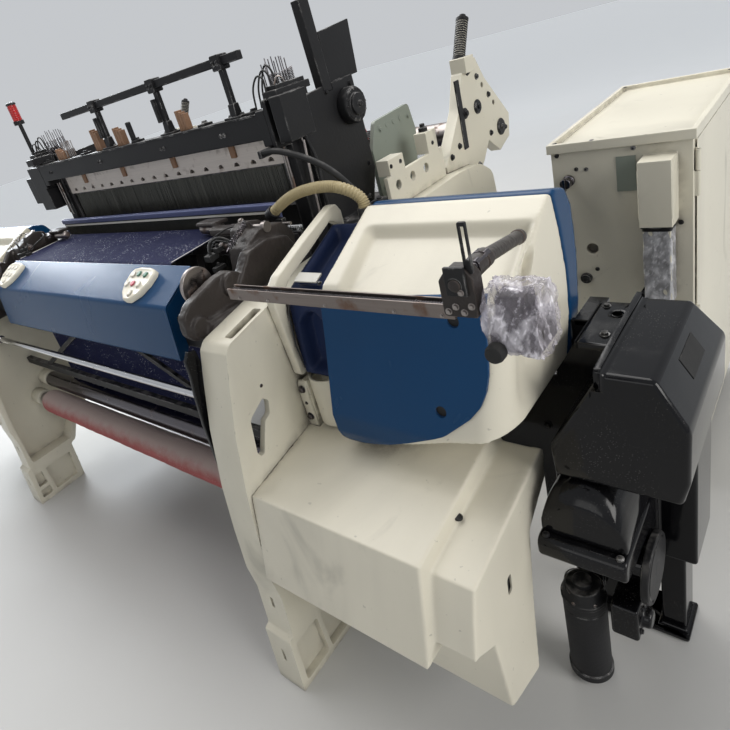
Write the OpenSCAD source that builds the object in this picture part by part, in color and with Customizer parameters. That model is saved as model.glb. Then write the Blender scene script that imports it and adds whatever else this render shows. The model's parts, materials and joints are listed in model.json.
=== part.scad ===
// Rapier weaving machine with a side-mounted shedding unit and its control cabinet.
// X runs along the width of the cloth, Y from the cloth side to the warp side, Z up.
// Every shape is placed from the middle of the two side frames and then shifted to the frame origin.

/* [Side frames] */
// distance between the inner faces of the two side frames
frame_gap = 1530; // [1500:1:1540]
// width of a side frame across its flanges
frame_t = 90; // [80:1:95]
// thickness of the plate that closes a side frame
frame_web = 16; // [12:1:24]
// height of the floor block at the foot of a side frame
foot_h = 178; // [150:1:190]

/* [Front of the loom] */
// distance from the middle of the loom to an end of the front cover
cover_half = 570; // [520:1:600]
// thickness of the bent sheet of the front cover
cover_sheet = 4; // [2:0.5:6]
// radius of the bright guard tube
guard_r = 11; // [8:0.5:16]
// radius of the dark take-up roller
takeup_r = 34; // [25:1:38]
// radius of the thin press roller
press_r = 19; // [12:1:22]
// radius of the wound cloth
cloth_r = 50; // [40:1:70]
// radial running clearance of the roller journals
run_gap = 0.06; // [0.02:0.01:0.1]

/* [Buttons] */
// diameter of a push button
button_d = 17; // [12:1:20]
// height of a button above its panel
button_h = 6; // [4:0.5:9]

/* [Shed] */
// pitch from one heald frame to the next
heald_pitch = 16; // [14:1:18]
// thickness of a heald frame
heald_t = 9; // [6:0.5:11]
// room left between a heald frame and a side frame
heald_room = 125; // [120:1:165]
// height of the rocker shaft of the sley
rocker_z = 560; // [520:1:600]

/* [Housings] */
// left edge of the light housing measured from the middle
pod_x1 = 1000; // [990:1:1010]
// right edge of the light housing measured from the middle
pod_x2 = 1400; // [1390:1:1410]
// wall of the moulded covers
shell = 6; // [4:0.5:8]
// radius of the rapier wheel
wheel_r = 132; // [110:1:136]

/* [Shedding unit and cabinet] */
// right face of the shedding unit measured from the middle
dobby_x2 = 1640; // [1620:1:1660]
// width of the control cabinet
cab_w = 315; // [280:1:340]
// depth of the control cabinet
cab_d = 680; // [600:1:700]
// height of the control cabinet
cab_h = 1060; // [1000:1:1080]

/* [Warp side] */
// radius of the flanges of the warp beam
flange_r = 320; // [280:1:330]
// radius of the wound warp
warp_r = 225; // [150:1:260]
// radius of the back rest roller
back_r = 48; // [40:1:55]

/* [Hidden] */
$fn = 48;

fi = frame_gap / 2;
fo = fi + frame_t;
// half the length of a cross beam that ends in the pockets of the side frames
beam_end = fi + frame_t - frame_web - 0.3;
// the frame origin lies under the middle of the whole machine
origin_x = 120;
origin_y = 1311;

// axes that several pieces share
takeup_y = 730;
takeup_z = 485;
press_y = takeup_y + takeup_r + press_r + 6;
press_z = 462;
roll_y = 665;
roll_z = 425;
guard_y = 625;
guard_z = 748;
journal_r = 14;
beam_y = 1790;
beam_z = 480;
beam_shaft_r = 30;
back_y = 2085;
back_z = 1010;
rocker_y = 985;
wheel_x = 1190;
wheel_z = 892;
wheel_y = 930;
heald_count = 4;
heald_half = fi - heald_room;
// inner face of a guide column
tower_x = heald_half + 14;
// edges of the cloth, which lies towards the left
cloth_x1 = -600;
cloth_x2 = 450;
heald_y0 = 1118;
reed_y = 1030;
fell_y = 1018;
cloth_z = 1044;
dobby_x1 = 1395;
dobby_y1 = 735;
dobby_y2 = 1105;
cab_x1 = 1206;
cab_y1 = 1500;

module place() translate([-origin_x, -origin_y, 0]) children();
// a flat shape drawn as (Y, Z) and pushed along X
module yz(x0, w) translate([x0, 0, 0]) rotate([90, 0, 90]) linear_extrude(w) children();
// a flat shape drawn as (X, Z) and pushed along Y
module xz(y0, d) translate([0, y0 + d, 0]) rotate([90, 0, 0]) linear_extrude(d) children();
module box(a, b) translate(a) cube([b[0] - a[0], b[1] - a[1], b[2] - a[2]]);
module rodx(x0, x1, y, z, r) translate([x0, y, z]) rotate([0, 90, 0]) cylinder(h = x1 - x0, r = r);
module rody(y0, y1, x, z, r) translate([x, y0, z]) rotate([-90, 0, 0]) cylinder(h = y1 - y0, r = r);
module rodz(z0, z1, x, y, r) translate([x, y, z0]) cylinder(h = z1 - z0, r = r);
module slotyz(x0, w, y, z, r, l) yz(x0, w) union() {
  translate([y - r, z - l / 2]) square([2 * r, l]);
  translate([y, z - l / 2]) circle(r);
  translate([y, z + l / 2]) circle(r);
}

// Side frames
// outline of a side frame: front leg, top, rear leg and the arch between the feet
module frame_outline() polygon([[434, 0], [440, 60], [450, foot_h - 8], [466, foot_h], [478, 300],
  [473, 370], [484, 485], [500, 607], [530, 751], [560, 853], [584, 928], [600, 945], [739, 970],
  [1650, 970], [1800, 955], [1880, 905], [1925, 500], [1955, foot_h], [1975, 0], [1745, 0],
  [1735, foot_h - 8], [1700, 290], [1600, 340], [860, 340], [745, 280], [690, foot_h],
  [664, foot_h - 8], [650, 0]]);

module side_frame() difference() {
  yz(fi, frame_t) frame_outline();
  // pockets open to the inside of the loom, closed by the outer plate
  yz(fi - 1, frame_t - frame_web + 1) polygon([[488, foot_h + 16], [494, 380], [506, 500],
    [524, 620], [553, 750], [582, 850], [612, 922], [745, 946], [900, 946], [900, 364], [740, 300],
    [672, foot_h + 16]]);
  yz(fi - 1, frame_t - frame_web + 1) polygon([[926, 364], [926, 946], [1400, 946], [1400, 364]]);
  yz(fi - 1, frame_t - frame_web + 1) polygon([[1426, 364], [1426, 944], [1650, 938], [1650, 364]]);
  yz(fi - 1, frame_t - frame_web + 1) polygon([[1870, 600], [1850, 880], [1800, 925], [1700, 932],
    [1700, 600]]);
  yz(fi - 1, frame_t - frame_web + 1) polygon([[1900, 380], [1930, foot_h + 16],
    [1762, foot_h + 16], [1730, 300], [1700, 360]]);
  // triangular window above the lower cover
  yz(fi - 1, frame_t + 2) polygon([[569, 697], [568, 667], [588, 677], [623, 738], [648, 768],
    [642, 781], [583, 765]]);
  // foot pockets, open outward
  yz(fi + 34, frame_t) polygon([[456, 18], [466, 150], [548, 150], [548, 18]]);
  yz(fi + 34, frame_t) polygon([[562, 18], [562, 150], [650, 150], [634, 18]]);
  yz(fi + 34, frame_t) polygon([[1762, 18], [1752, 150], [1938, 150], [1950, 18]]);
  // small foot pockets on the inner side
  yz(fi - 1, 20) polygon([[452, 22], [458, 60], [500, 60], [500, 22]]);
  yz(fi - 1, 20) polygon([[460, 76], [468, 140], [500, 140], [500, 76]]);
  yz(fi - 1, 20) polygon([[520, 22], [520, 140], [640, 140], [628, 22]]);
  // slots in the front face
  box([fi + 40, 400, 250], [fi + 50, 520, 282]);
  box([fi + 42, 400, 84], [fi + 52, 448, 122]);
  // long dark slot in the top
  box([fi + 18, 640, 900], [fi + 42, 738, 1000]);
  // bearing bores of the rollers and of the warp beam
  rodx(fi - 5, fi + 60, takeup_y, takeup_z, journal_r + run_gap);
  rodx(fi - 5, fi + 60, press_y, press_z, journal_r + run_gap);
  rodx(fi - 5, fi + 60, roll_y, roll_z, journal_r + run_gap);
  rodx(fi - 5, fi + frame_t + 5, beam_y, beam_z, beam_shaft_r + run_gap);
  rodx(fi - 5, fi + 60, rocker_y, rocker_z, 18 + run_gap);
}
// bearing blocks that stand in the pockets of a side frame
module bearing_blocks() difference() {
  union() {
    rodx(fi, fo - frame_web + 1, takeup_y, takeup_z, 34);
    rodx(fi, fo - frame_web + 1, press_y + 2, press_z - 6, 30);
    rodx(fi, fo - frame_web + 1, roll_y, roll_z, 34);
    rodx(fi, fo - frame_web + 1, rocker_y, rocker_z, 44);
    // lug that carries the end of the guard tube
    yz(fi, 12) polygon([[540, 732], [545, 766], [642, 766], [642, 730]]);
  }
  rodx(fi - 5, fi + 60, takeup_y, takeup_z, journal_r + run_gap);
  rodx(fi - 5, fi + 60, press_y, press_z, journal_r + run_gap);
  rodx(fi - 5, fi + 60, roll_y, roll_z, journal_r + run_gap);
  rodx(fi - 5, fi + 60, rocker_y, rocker_z, 18 + run_gap);
}
module frame_casting() color([0.86, 0.84, 0.76]) union() {
  side_frame();
  bearing_blocks();
}
// flange and rounded shield that join the right frame to its housing
module frame_shield() color([0.86, 0.84, 0.76]) {
  difference() {
    box([fo, 735, 612], [fo + 32, 755, 760]);
    for (z = [640, 668, 735]) rody(734, 747, fo + 16, z, 6.5);
  }
  difference() {
    translate([fo + 70, 790, 654]) cylinder(h = 121, r = 55);
    translate([fo + 70, 790, 650]) cylinder(h = 130, r = 50);
    box([fo - 10, 790, 500], [fo + 200, 900, 900]);
    box([fo - 10, 700, 500], [fo + 22, 900, 900]);
  }
  box([fo + 22, 740, 654], [fo + 32, 790, 775]);
}
// stud on which the front lever turns, with the collar behind it
module lever_stud() color([0.86, 0.84, 0.76]) {
  rodx(fi - 24, fi + frame_t - frame_web + 1, lever_y, lever_z, 8);
  rodx(fi - 7.6, fi + frame_t - frame_web + 1, lever_y, lever_z, 11);
}
module frame_right() place() {
  frame_casting();
  frame_shield();
  lever_stud();
}
module frame_left() place() mirror([1, 0, 0]) frame_casting();

module breast_beam() color([0.1, 0.1, 0.11]) place() difference() {
  union() {
    box([-fi, 672, 862], [fi, 742, 945]);
    // tongues at the ends, bolted in the pockets of the side frames
    box([-beam_end, 676, 866], [beam_end, 738, 926]);
    // tie bars of the crossed bracing below
    for (s = [-1, 1]) xz(700, 12) polygon([[s * 640, 600], [s * 600, 600], [s * 20, 862], [s * 60, 862]]);
    box([-beam_end, 696, 576], [beam_end, 716, 604]);
  }
  box([-fi + 12, 684, 874], [fi - 12, 730, 933]);
}
module rear_beam() color([0.1, 0.1, 0.11]) place() {
  box([-beam_end, 1560, 850], [beam_end, 1640, 935]);
  box([-beam_end, 1180, 364.3], [beam_end, 1260, 430]);
}
module breast_cover() color([0.2, 0.42, 0.66]) place() {
  yz(-cover_half, 2 * cover_half) polygon([[634, 842], [651, 982], [764, 1045], [768, 1041],
    [768, 1040 - cover_sheet], [651 + cover_sheet, 982 - cover_sheet],
    [634 + cover_sheet, 842 - cover_sheet], [630, 842 - cover_sheet], [630, 842]]);
  for (s = [-1, 1]) yz(s > 0 ? cover_half - 5 : -cover_half, 5)
    polygon([[638, 843], [655, 978], [766, 1040], [766, 1000], [742, 945], [672, 945], [672, 862],
      [660, 843]]);
}

// Button panels
// the panels lie on the sloping top of the front cover
cover_tilt = atan2(63, 113);
panel_x = 400;
left_panel_shift = -890;
module on_cover(x) translate([x, 651, 982]) rotate([cover_tilt, 0, 0]) children();
module panel_shape() on_cover(panel_x) difference() {
  linear_extrude(16) polygon([[-58, 22], [-56, 8], [-46, 2], [46, 2], [56, 8], [58, 22], [52, 92],
    [44, 104], [30, 110], [-30, 110], [-44, 104], [-52, 92]]);
  for (b = BUTTONS) translate([b[0], b[1], 0]) {
    translate([0, 0, 10]) cylinder(h = 10, r = button_d / 2 + 0.5);
    translate([0, 0, 3]) cylinder(h = 8, r = stem_r + run_gap);
  }
}
stem_r = 4;
BUTTONS = [[-34, 82], [-8, 86], [24, 84], [-38, 52], [-10, 54], [18, 52], [2, 24]];
module panel_right() color([0.87, 0.85, 0.78]) place() panel_shape();
module panel_left() color([0.87, 0.85, 0.78]) place() translate([left_panel_shift, 0, 0]) panel_shape();
// cap on a stem that slides in the panel; both ends of the stem keep clear by the press travel
module button(i) place() on_cover(panel_x) translate([BUTTONS[i][0], BUTTONS[i][1], 0]) {
  translate([0, 0, 6.2]) cylinder(h = 7, r = stem_r);
  translate([0, 0, 12.4]) cylinder(h = button_h, r = button_d / 2);
  translate([0, 0, 12.4 + button_h]) cylinder(h = 1.2, r1 = button_d / 2, r2 = button_d / 2 - 1.2);
}
module button_1() color([0.8, 0.25, 0.3]) button(0);
module button_2() color([0.15, 0.5, 0.25]) button(1);
module button_3() color([0.9, 0.88, 0.8]) button(2);
module button_4() color([0.1, 0.1, 0.1]) button(3);
module button_5() color([0.85, 0.35, 0.4]) button(4);
module button_6() color([0.1, 0.1, 0.1]) button(5);
module button_7() color([0.9, 0.88, 0.8]) button(6);

// Rollers and cloth
module roller(y, z, r) {
  rodx(-fi + 12, fi - 12, y, z, r);
  rodx(-fi - 50, fi + 50, y, z, journal_r);
}
module guard_tube() color([0.75, 0.75, 0.77]) place() {
  rodx(-fi, fi, guard_y, guard_z, guard_r);
  for (s = [-1, 1]) translate([s * (fi - 4), guard_y, guard_z]) rotate([0, 90, 0])
    cylinder(h = 8, r = 16, center = true);
}
module takeup_roller() color([0.25, 0.24, 0.26]) place() roller(takeup_y, takeup_z, takeup_r);
module press_roller() color([0.5, 0.48, 0.5]) place() roller(press_y, press_z, press_r);
module cloth_roll() color([0.75, 0.3, 0.35]) place() {
  rodx(75 - fi, fi - 75, roll_y, roll_z, cloth_r);
  rodx(-fi - 50, fi + 50, roll_y, roll_z, journal_r);
  for (s = [-1, 1]) translate([s * (fi - 40), roll_y, roll_z]) rotate([0, 90, 0])
    cylinder(h = 70, r = 24, center = true);
}
// woven cloth from the fell over the breast edge and down to the take-up roller
module cloth_web() color([0.12, 0.12, 0.28]) place() yz(cloth_x1, cloth_x2 - cloth_x1)
  polygon([[fell_y, cloth_z + 2], [786, 1038], [773, 1029], [768, 1014],
  [takeup_y + takeup_r + 0.4, takeup_z], [takeup_y + takeup_r + 2, takeup_z], [770, 1014],
  [775, 1027.5], [787, 1036], [fell_y, cloth_z]]);
// warp yarns from the warp beam over the back rest roller and the stop motion to the shed;
// wrap_end is the angle at which they leave the back rest roller and the wound warp
beam_to_rest = [back_y - beam_y, back_z - beam_z];
wrap_end = atan2(beam_to_rest[1], beam_to_rest[0]) - acos((warp_r - back_r) / norm(beam_to_rest));
wrap_step = (90 - wrap_end) / 6;
function around(y, z, r, a) = [y + r * cos(a), z + r * sin(a)];
module warp_sheet() color([0.85, 0.85, 0.82]) place() yz(cloth_x1, cloth_x2 - cloth_x1) polygon(concat(
  [[1105, cloth_z + 4.5]],
  [for (k = [0:6]) around(back_y, back_z, back_r + 2.1, 90 - k * wrap_step)],
  [around(beam_y, beam_z, warp_r + 2.1, wrap_end), around(beam_y, beam_z, warp_r + 0.6, wrap_end)],
  [for (k = [6:-1:0]) around(back_y, back_z, back_r + 0.8, 90 - k * wrap_step)], [[1105, cloth_z + 3]]));

// Sley, reed and shed
// places of the four legs of the sley
LEGS = [80 - heald_half, -190, 190, heald_half - 80];
module sley() color([0.2, 0.2, 0.22]) place() {
  difference() {
    box([-heald_half - 60, reed_y - 4, 952], [heald_half + 60, reed_y + 24, 1020]);
    box([-heald_half - 10, reed_y + 3, 1000], [heald_half + 10, reed_y + 13, 1021]);
  }
  for (x = LEGS) yz(x - 15, 30) polygon([[rocker_y - 26, rocker_z], [rocker_y + 26, rocker_z],
    [reed_y + 22, 954], [reed_y - 2, 954]]);
  rodx(-fi - 45, fi + 45, rocker_y, rocker_z, 18);
  for (x = LEGS) rodx(x - 22, x + 22, rocker_y, rocker_z, 36);
}
reed_half = heald_half + 8;
module reed() color([0.62, 0.6, 0.75]) place() {
  box([-reed_half, reed_y + 3.3, 1000.3], [reed_half, reed_y + 12.7, 1022]);
  box([-reed_half, reed_y + 6, 1020], [reed_half, reed_y + 10, 1094]);
  box([-reed_half - 4, reed_y - 2, 1088], [reed_half + 4, reed_y + 18, 1106]);
  for (s = [-1, 1]) translate([s * (reed_half - 2), reed_y + 8, 1060.5])
    cube([12, 8, 79], center = true);
}
module heald_frame(i) translate([0, heald_y0 + i * heald_pitch, 0]) {
  difference() {
    box([-heald_half, 0, 1190], [heald_half, heald_t, 1262]);
    for (k = [-8:8]) rody(-1, heald_t + 1, k * 74, 1224, 8);
  }
  box([-heald_half, 0, 760], [heald_half, heald_t, 820]);
  // end pieces that run in the slots of the guide columns
  for (s = [-1, 1]) translate([s * (heald_half + 9), heald_t / 2, 1011])
    cube([26, heald_t, 502], center = true);
  // curtain of heald wires above and below the eyes
  box([-heald_half + 20, 3.5, 1092], [heald_half - 20, 5.5, 1192]);
  box([-heald_half + 20, 3.5, 818], [heald_half - 20, 5.5, 990]);
}
module heald_frame_1() color([0.85, 0.8, 0.74]) place() {
  heald_frame(0);
  for (x = [-470, -170, 150, 450]) box([x - 14, heald_y0 - 8, 1200], [x + 14, heald_y0, 1252]);
}
module heald_frame_2() color([0.6, 0.6, 0.6]) place() heald_frame(1);
module heald_frame_3() color([0.6, 0.6, 0.6]) place() heald_frame(2);
module heald_frame_4() color([0.6, 0.6, 0.6]) place() heald_frame(3);

module harness_beam() color([0.08, 0.08, 0.09]) place() {
  box([-tower_x - 1, 1050, 1268], [tower_x + 1, 1100, 1334]);
  for (s = [-1, 1]) translate([s * (tower_x + 17), 1075, 1295]) cube([34, 50, 90], center = true);
  rodz(1334, 1400, 40, 1075, 9);
}
module upper_rail() color([0.08, 0.08, 0.09]) place() {
  box([-350, 1066, 1466], [heald_half, 1084, 1488]);
  for (x = [-110, 250, heald_half - 80]) box([x - 9, 1068, 1334], [x + 9, 1082, 1468]);
  for (x = [-110, 250]) box([x - 22, 1058, 1372], [x - 9, 1092, 1440]);
}
module tower() translate([tower_x, 0, 0]) {
  // guide column with the slots of the heald frames
  difference() {
    box([0, 1104, 700], [46, 1218, 1360]);
    for (i = [0:heald_count - 1]) box([-14, heald_y0 + i * heald_pitch - 0.5, 690],
      [14, heald_y0 + i * heald_pitch + heald_t + 0.5, 1361]);
  }
  box([34, 1050, 1240], [46, 1110, 1362]);
  box([46, 1104, 700], [fi - tower_x, 1218, 760]);
  // bracket that seats the column on the side frame
  box([46, 1150, 970], [fi + 34 - tower_x, 1400, 990]);
  box([fi - 40 - tower_x, 1150, 700], [fi - tower_x, 1200, 970]);
  // dark side plate with the round pulley cover
  yz(46, 16) polygon([[1150, 990], [1150, 1340], [1400, 1352], [1410, 1080], [1370, 990]]);
  rodx(62, 94, 1350, 1275, 44);
  rodx(94, 102, 1350, 1275, 30);
  // cable box on the top
  box([36, 1060, 1360], [86, 1190, 1378]);
}
module tower_right() color([0.1, 0.1, 0.11]) place() {
  tower();
  translate([tower_x, 0, 0]) {
    box([62, 1050, 1252], [102, 1148, 1364]);
    yz(36, 28) polygon([[1262, 1330], [1300, 1330], [1290, 1560], [1250, 1560]]);
    yz(46, 8) polygon([[1300, 1346], [1440, 1350], [1450, 1492], [1310, 1478]]);
    rodz(1558, 1600, 50, 1270, 9);
    box([10, 1010, 1230], [22, 1104, 1249.6]);
  }
}
module tower_left() color([0.1, 0.1, 0.11]) place() mirror([1, 0, 0]) {
  tower();
  translate([tower_x, 0, 0]) {
    box([46, 1050, 1150], [lamp_out + 10, 1152, 1330]);
    box([-14, 1020, 1340], [46, 1104, 1366]);
    box([lamp_out + 10, 1060, 1180], [lamp_out + 90, 1130, 1290]);
  }
}
// how far outside the inner face of its column the signal lamp stands
lamp_out = 136;
module signal_lamp() place() translate([-tower_x - lamp_out, 1105, 0]) {
  color([0.1, 0.1, 0.1]) {
    translate([-22, -22, 1330]) cube([44, 44, 10]);
    translate([0, 0, 1340]) cylinder(h = 166, r = 8);
    translate([0, 0, 1506]) cylinder(h = 14, r = 20);
    translate([0, 0, 1582]) cylinder(h = 12, r1 = 20, r2 = 14);
  }
  color([0.75, 0.1, 0.1]) translate([0, 0, 1520]) cylinder(h = 62, r = 18);
}

// plane in which the suction hose bends
hose_y = 992;

// Take-up drive and temple at one end of the cloth
module takeup_drive(edge_x) difference() {
  takeup_shape(edge_x);
  // room for the breast beam
  box([fi - 110, 671.7, 861.7], [fi + 1, 742.3, 945.3]);
}
module takeup_shape(edge_x) {
  // bolted plate inside the side frame
  yz(fi - 14, 14) polygon([[604, 800], [604, 905], [650, 945], [960, 945], [960, 800]]);
  // bent carrier that reaches up to the temple
  yz(fi - 60, 30) polygon([[600, 900], [606, 975], [650, 1062], [700, 1088], [880, 1098], [990, 1082],
    [1000, 1056], [940, 1048], [900, 1000], [880, 930], [700, 930], [650, 880]]);
  box([fi - 32, 640, 890], [fi - 12, 900, 935]);
  // hand wheel rim and pulley
  difference() {
    rodx(fi - 96, fi - 76, 676, 1020, 44);
    rodx(fi - 97, fi - 75, 676, 1020, 30);
  }
  for (a = [0:60:150]) translate([fi - 92, 676, 1020]) rotate([a, 0, 0]) translate([0, -5, -34])
    cube([12, 10, 68]);
  rodx(fi - 100, fi - 58, 676, 1020, 12);
  rodx(fi - 78, fi - 58, 640, 940, 40);
  rodx(fi - 84, fi - 78, 640, 940, 22);
  // temple arm and the ring cylinder that grips the cloth edge
  box([edge_x + 20, 930, 1056], [fi - 40, 962, 1074]);
  rodx(edge_x - 70, edge_x + 22, 972, 1064, 15);
  box([edge_x - 72, 946, 1076], [edge_x + 30, 1000, 1086]);
  rodx(edge_x + 60, fi - 40, 984, 1066, 5);
  rodx(fi - 96, fi - 30, 900, 1086, 8);
}
module takeup_drive_right() color([0.2, 0.18, 0.17]) place() {
  takeup_drive(cloth_x2);
  // socket of the suction hose
  box([655, 984, 1050], [706, 1000, 1076]);
  translate([672, hose_y, 1092]) rotate([0, 61.4, 0]) cylinder(h = 24, r = 18, center = true);
}
module takeup_drive_left() color([0.2, 0.18, 0.17]) place() mirror([1, 0, 0]) takeup_drive(-cloth_x1);

// Housings at the two ends
// side view of a housing, and the same shape one wall further in
module pod_side() polygon([[978, 1101], [968, 1104], [768, 1010], [756, 996], [733, 900], [706, 800],
  [692, 742], [694, 700], [706, 678], [740, 665], [860, 669], [935, 700], [965, 745], [987, 797],
  [1008, 853], [1013, 937], [999, 1024]]);
module pod_inside() polygon([[972, 1091], [966, 1094], [774, 1004], [762, 992], [740, 900], [713, 800],
  [699, 744], [701, 704], [712, 684], [742, 672], [858, 676], [931, 706], [959, 749], [980, 800],
  [1001, 855], [1006, 936], [992, 1022]]);
// outline of the dark blue back cover that closes the housing
module back_side() polygon([[979, 1101], [999.5, 1024], [1013.5, 937], [1008.5, 853], [987.5, 797],
  [965.5, 745], [952, 724], [990, 742], [1032, 762], [1064, 846], [1078, 949], [1070, 1050],
  [1046, 1090], [1000, 1103]]);
// front view: the lower outer corner is cut away in a sweep
module pod_front(x1, x2) polygon([[x1, 640], [x2 - 290, 668], [x2 - 211, 700], [x2 - 124, 730],
  [x2 - 60, 745], [x2 - 25, 757], [x2, 770], [x2, 1130], [x1, 1130]]);
// right end of the tray in the top of a housing
tray_x2 = 1364;
module pod(x1, x2) {
  difference() {
    intersection() {
      yz(x1, x2 - x1) pod_side();
      xz(600, 600) pod_front(x1, x2);
    }
    intersection() {
      yz(x1 + shell, x2 - x1 - 2 * shell) pod_inside();
      xz(600, 600) pod_front(x1 + 8, x2 - 8);
    }
    // service opening behind the door
    box([x1 + 34, 640, 742], [door_x2 - 48, 800, 968]);
    // shallow tray in the sloping top
    yz(x1 + 34, tray_x2 - x1 - 34) polygon([[800, 1045], [806, 1008], [906, 1054.4], [906, 1110]]);
    // passage of the rapier tape
    box([x1 - 1, 912, 1018], [x1 + shell + 1, 948, 1046]);
  }
  // tray floor
  yz(x1 + 3, x2 - x1 - 6) polygon([[798, 1019], [803, 1001], [912, 1051.5], [914, 1072], [908, 1072],
    [908, 1056], [806, 1009], [804, 1021]]);
  // bracket that carries the wheel shaft
  box([x1 + 4, 985, 860], [x2 - 3, 995, 920]);
  rody(958, 990, wheel_x, wheel_z, 26);
  rody(900, 960, wheel_x, wheel_z, 11.9);
}
module housing(x1, x2) {
  pod(x1, x2);
  // beam that ties the housing to the loom frame
  box([fo, 792, 664], [x1 + 150, 880, 692]);
  box([fo, 860, 560], [fo + 12, 1010, 686]);
}
module housing_right() color([0.88, 0.86, 0.78]) place() housing(pod_x1, pod_x2);
module housing_left() place() mirror([1, 0, 0]) {
  color([0.88, 0.86, 0.78]) housing(fo + 30, pod_x2);
  color([0.13, 0.28, 0.5]) housing_back(fo + 30, pod_x2);
}
module housing_back(x1, x2) intersection() {
  yz(x1, x2 - x1) back_side();
  xz(600, 600) pod_front(x1, x2);
}
module band_right() color([0.13, 0.28, 0.5]) place() housing_back(pod_x1, pod_x2);
// dark recessed panel with its arched light rim, between the frame and the housing
module recess_right() place() {
  color([0.88, 0.86, 0.78]) difference() {
    yz(fo + 0.3, 22.7) polygon([[724, 972], [732, 1000], [760, 1022], [990, 1101], [1004, 1101],
      [1020, 1080], [1020, 972]]);
    yz(fo + 1, 23) polygon([[745, 990], [772, 1006], [980, 1076], [1000, 1060], [1000, 980], [745, 980]]);
  }
  color([0.09, 0.13, 0.28]) {
    difference() {
      yz(fo + 22, pod_x1 - fo - 22) polygon([[752, 775], [764, 900], [772, 960], [830, 1002],
        [980, 1060], [1000, 1050], [1000, 775]]);
      yz(fo + 32, pod_x1 - fo - 39) polygon([[760, 781], [772, 900], [780, 954], [834, 994], [974, 1048],
        [992, 1040], [992, 781]]);
    }
    rody(744, 760, fo + 84, 846, 7);
    box([fo + 30, 738, 992], [fo + 110, 846, 998]);
    rodz(1030, 1094, 976, hose_y, 18);
  }
}
// blue hinged door, bulging like the housing behind it
door_x2 = 1365;
module door_shape(x1) intersection() {
  yz(x1 + 6, door_x2 - x1 - 6) polygon([[753, 1003], [744, 985], [725, 900], [698, 800], [683, 742],
    [685, 697], [698, 671], [704, 680], [693.4, 700], [691.5, 742], [705.5, 800], [732.5, 900],
    [755.4, 996.2], [760.6, 1002]]);
  xz(600, 600) polygon([[x1 + 6, 668], [1060, 668], [1100, 680], [1189, 714], [1276, 753],
    [1329, 796], [1358, 832], [door_x2, 873], [door_x2, 1010], [x1 + 6, 985]]);
}
module door(x1) difference() {
  door_shape(x1);
  for (p = [[1306, 966], [1272, 799]]) rody(675, 760, p[0], p[1], 8);
}
module door_right() color([0.12, 0.27, 0.48]) place() door(pod_x1);
module door_left() color([0.12, 0.27, 0.48]) place() mirror([1, 0, 0]) door(fo + 30);
// lower front cover: bent sheet with a stepped outer end
module lower_cover() {
  // front and top wall
  yz(fo + 0.3, 434.7) polygon([[462, 390], [488, 500], [510, 605], [850, 661], [850, 655],
    [515, 599], [494, 500], [468, 390]]);
  // step
  yz(1284, 28) polygon([[462, 390], [488, 500], [510, 605], [850, 661], [850, 560], [640, 390]]);
  // outer end, one step lower
  yz(1312, 62) polygon([[486, 440], [506, 520], [524, 582], [826, 634], [826, 628], [529, 576], [512, 520],
    [492, 440]]);
  difference() {
    yz(1374, 6) polygon([[484, 440], [506, 520], [524, 582], [846, 636], [856, 600], [846, 572],
      [790, 560], [757, 534], [720, 330], [697, 148], [573, 192], [556, 401], [505, 436]]);
    rodx(1370, 1390, 640, 470, 9);
  }
  // set-back lower wall
  yz(fo + 0.3, 522.7) polygon([[556, 401], [572, 192], [577, 192], [562, 401]]);
  box([fo + 0.3, 556, 385], [1312, 566, 403]);
  box([fo + 0.3, 466, 390], [1290, 560, 395]);
  yz(fo + 0.3, 5) polygon([[466, 392], [492, 500], [512, 600], [850, 655], [850, 560], [640, 392]]);
}
module lower_cover_drilled() difference() {
  lower_cover();
  // notch around the bolted flange of the side frame
  box([fo - 1, 732, 580], [fo + 36, 870, 700]);
  rodx(1300, 1320, 640, 555, 7);
}
module lower_cover_right() color([0.85, 0.83, 0.76]) place() lower_cover_drilled();
module lower_cover_left() color([0.85, 0.83, 0.76]) place() mirror([1, 0, 0]) lower_cover_drilled();
module rapier_wheel() difference() {
  union() {
    rody(wheel_y - 4, wheel_y + 4, wheel_x, wheel_z, wheel_r - 8);
    difference() {
      rody(wheel_y - 14, wheel_y + 14, wheel_x, wheel_z, wheel_r);
      rody(wheel_y - 15, wheel_y + 15, wheel_x, wheel_z, wheel_r - 9);
    }
    rody(wheel_y - 22, wheel_y + 22, wheel_x, wheel_z, 30);
  }
  rody(wheel_y - 23, wheel_y + 23, wheel_x, wheel_z, 11.9 + run_gap);
  for (a = [0:60:330]) translate([wheel_x, 0, wheel_z]) rotate([0, a, 0])
    rody(wheel_y - 10, wheel_y + 10, 78, 0, 22);
}
module rapier_wheel_right() color([0.55, 0.55, 0.57]) place() rapier_wheel();
module rapier_wheel_left() color([0.55, 0.55, 0.57]) place() mirror([1, 0, 0]) rapier_wheel();

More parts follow.
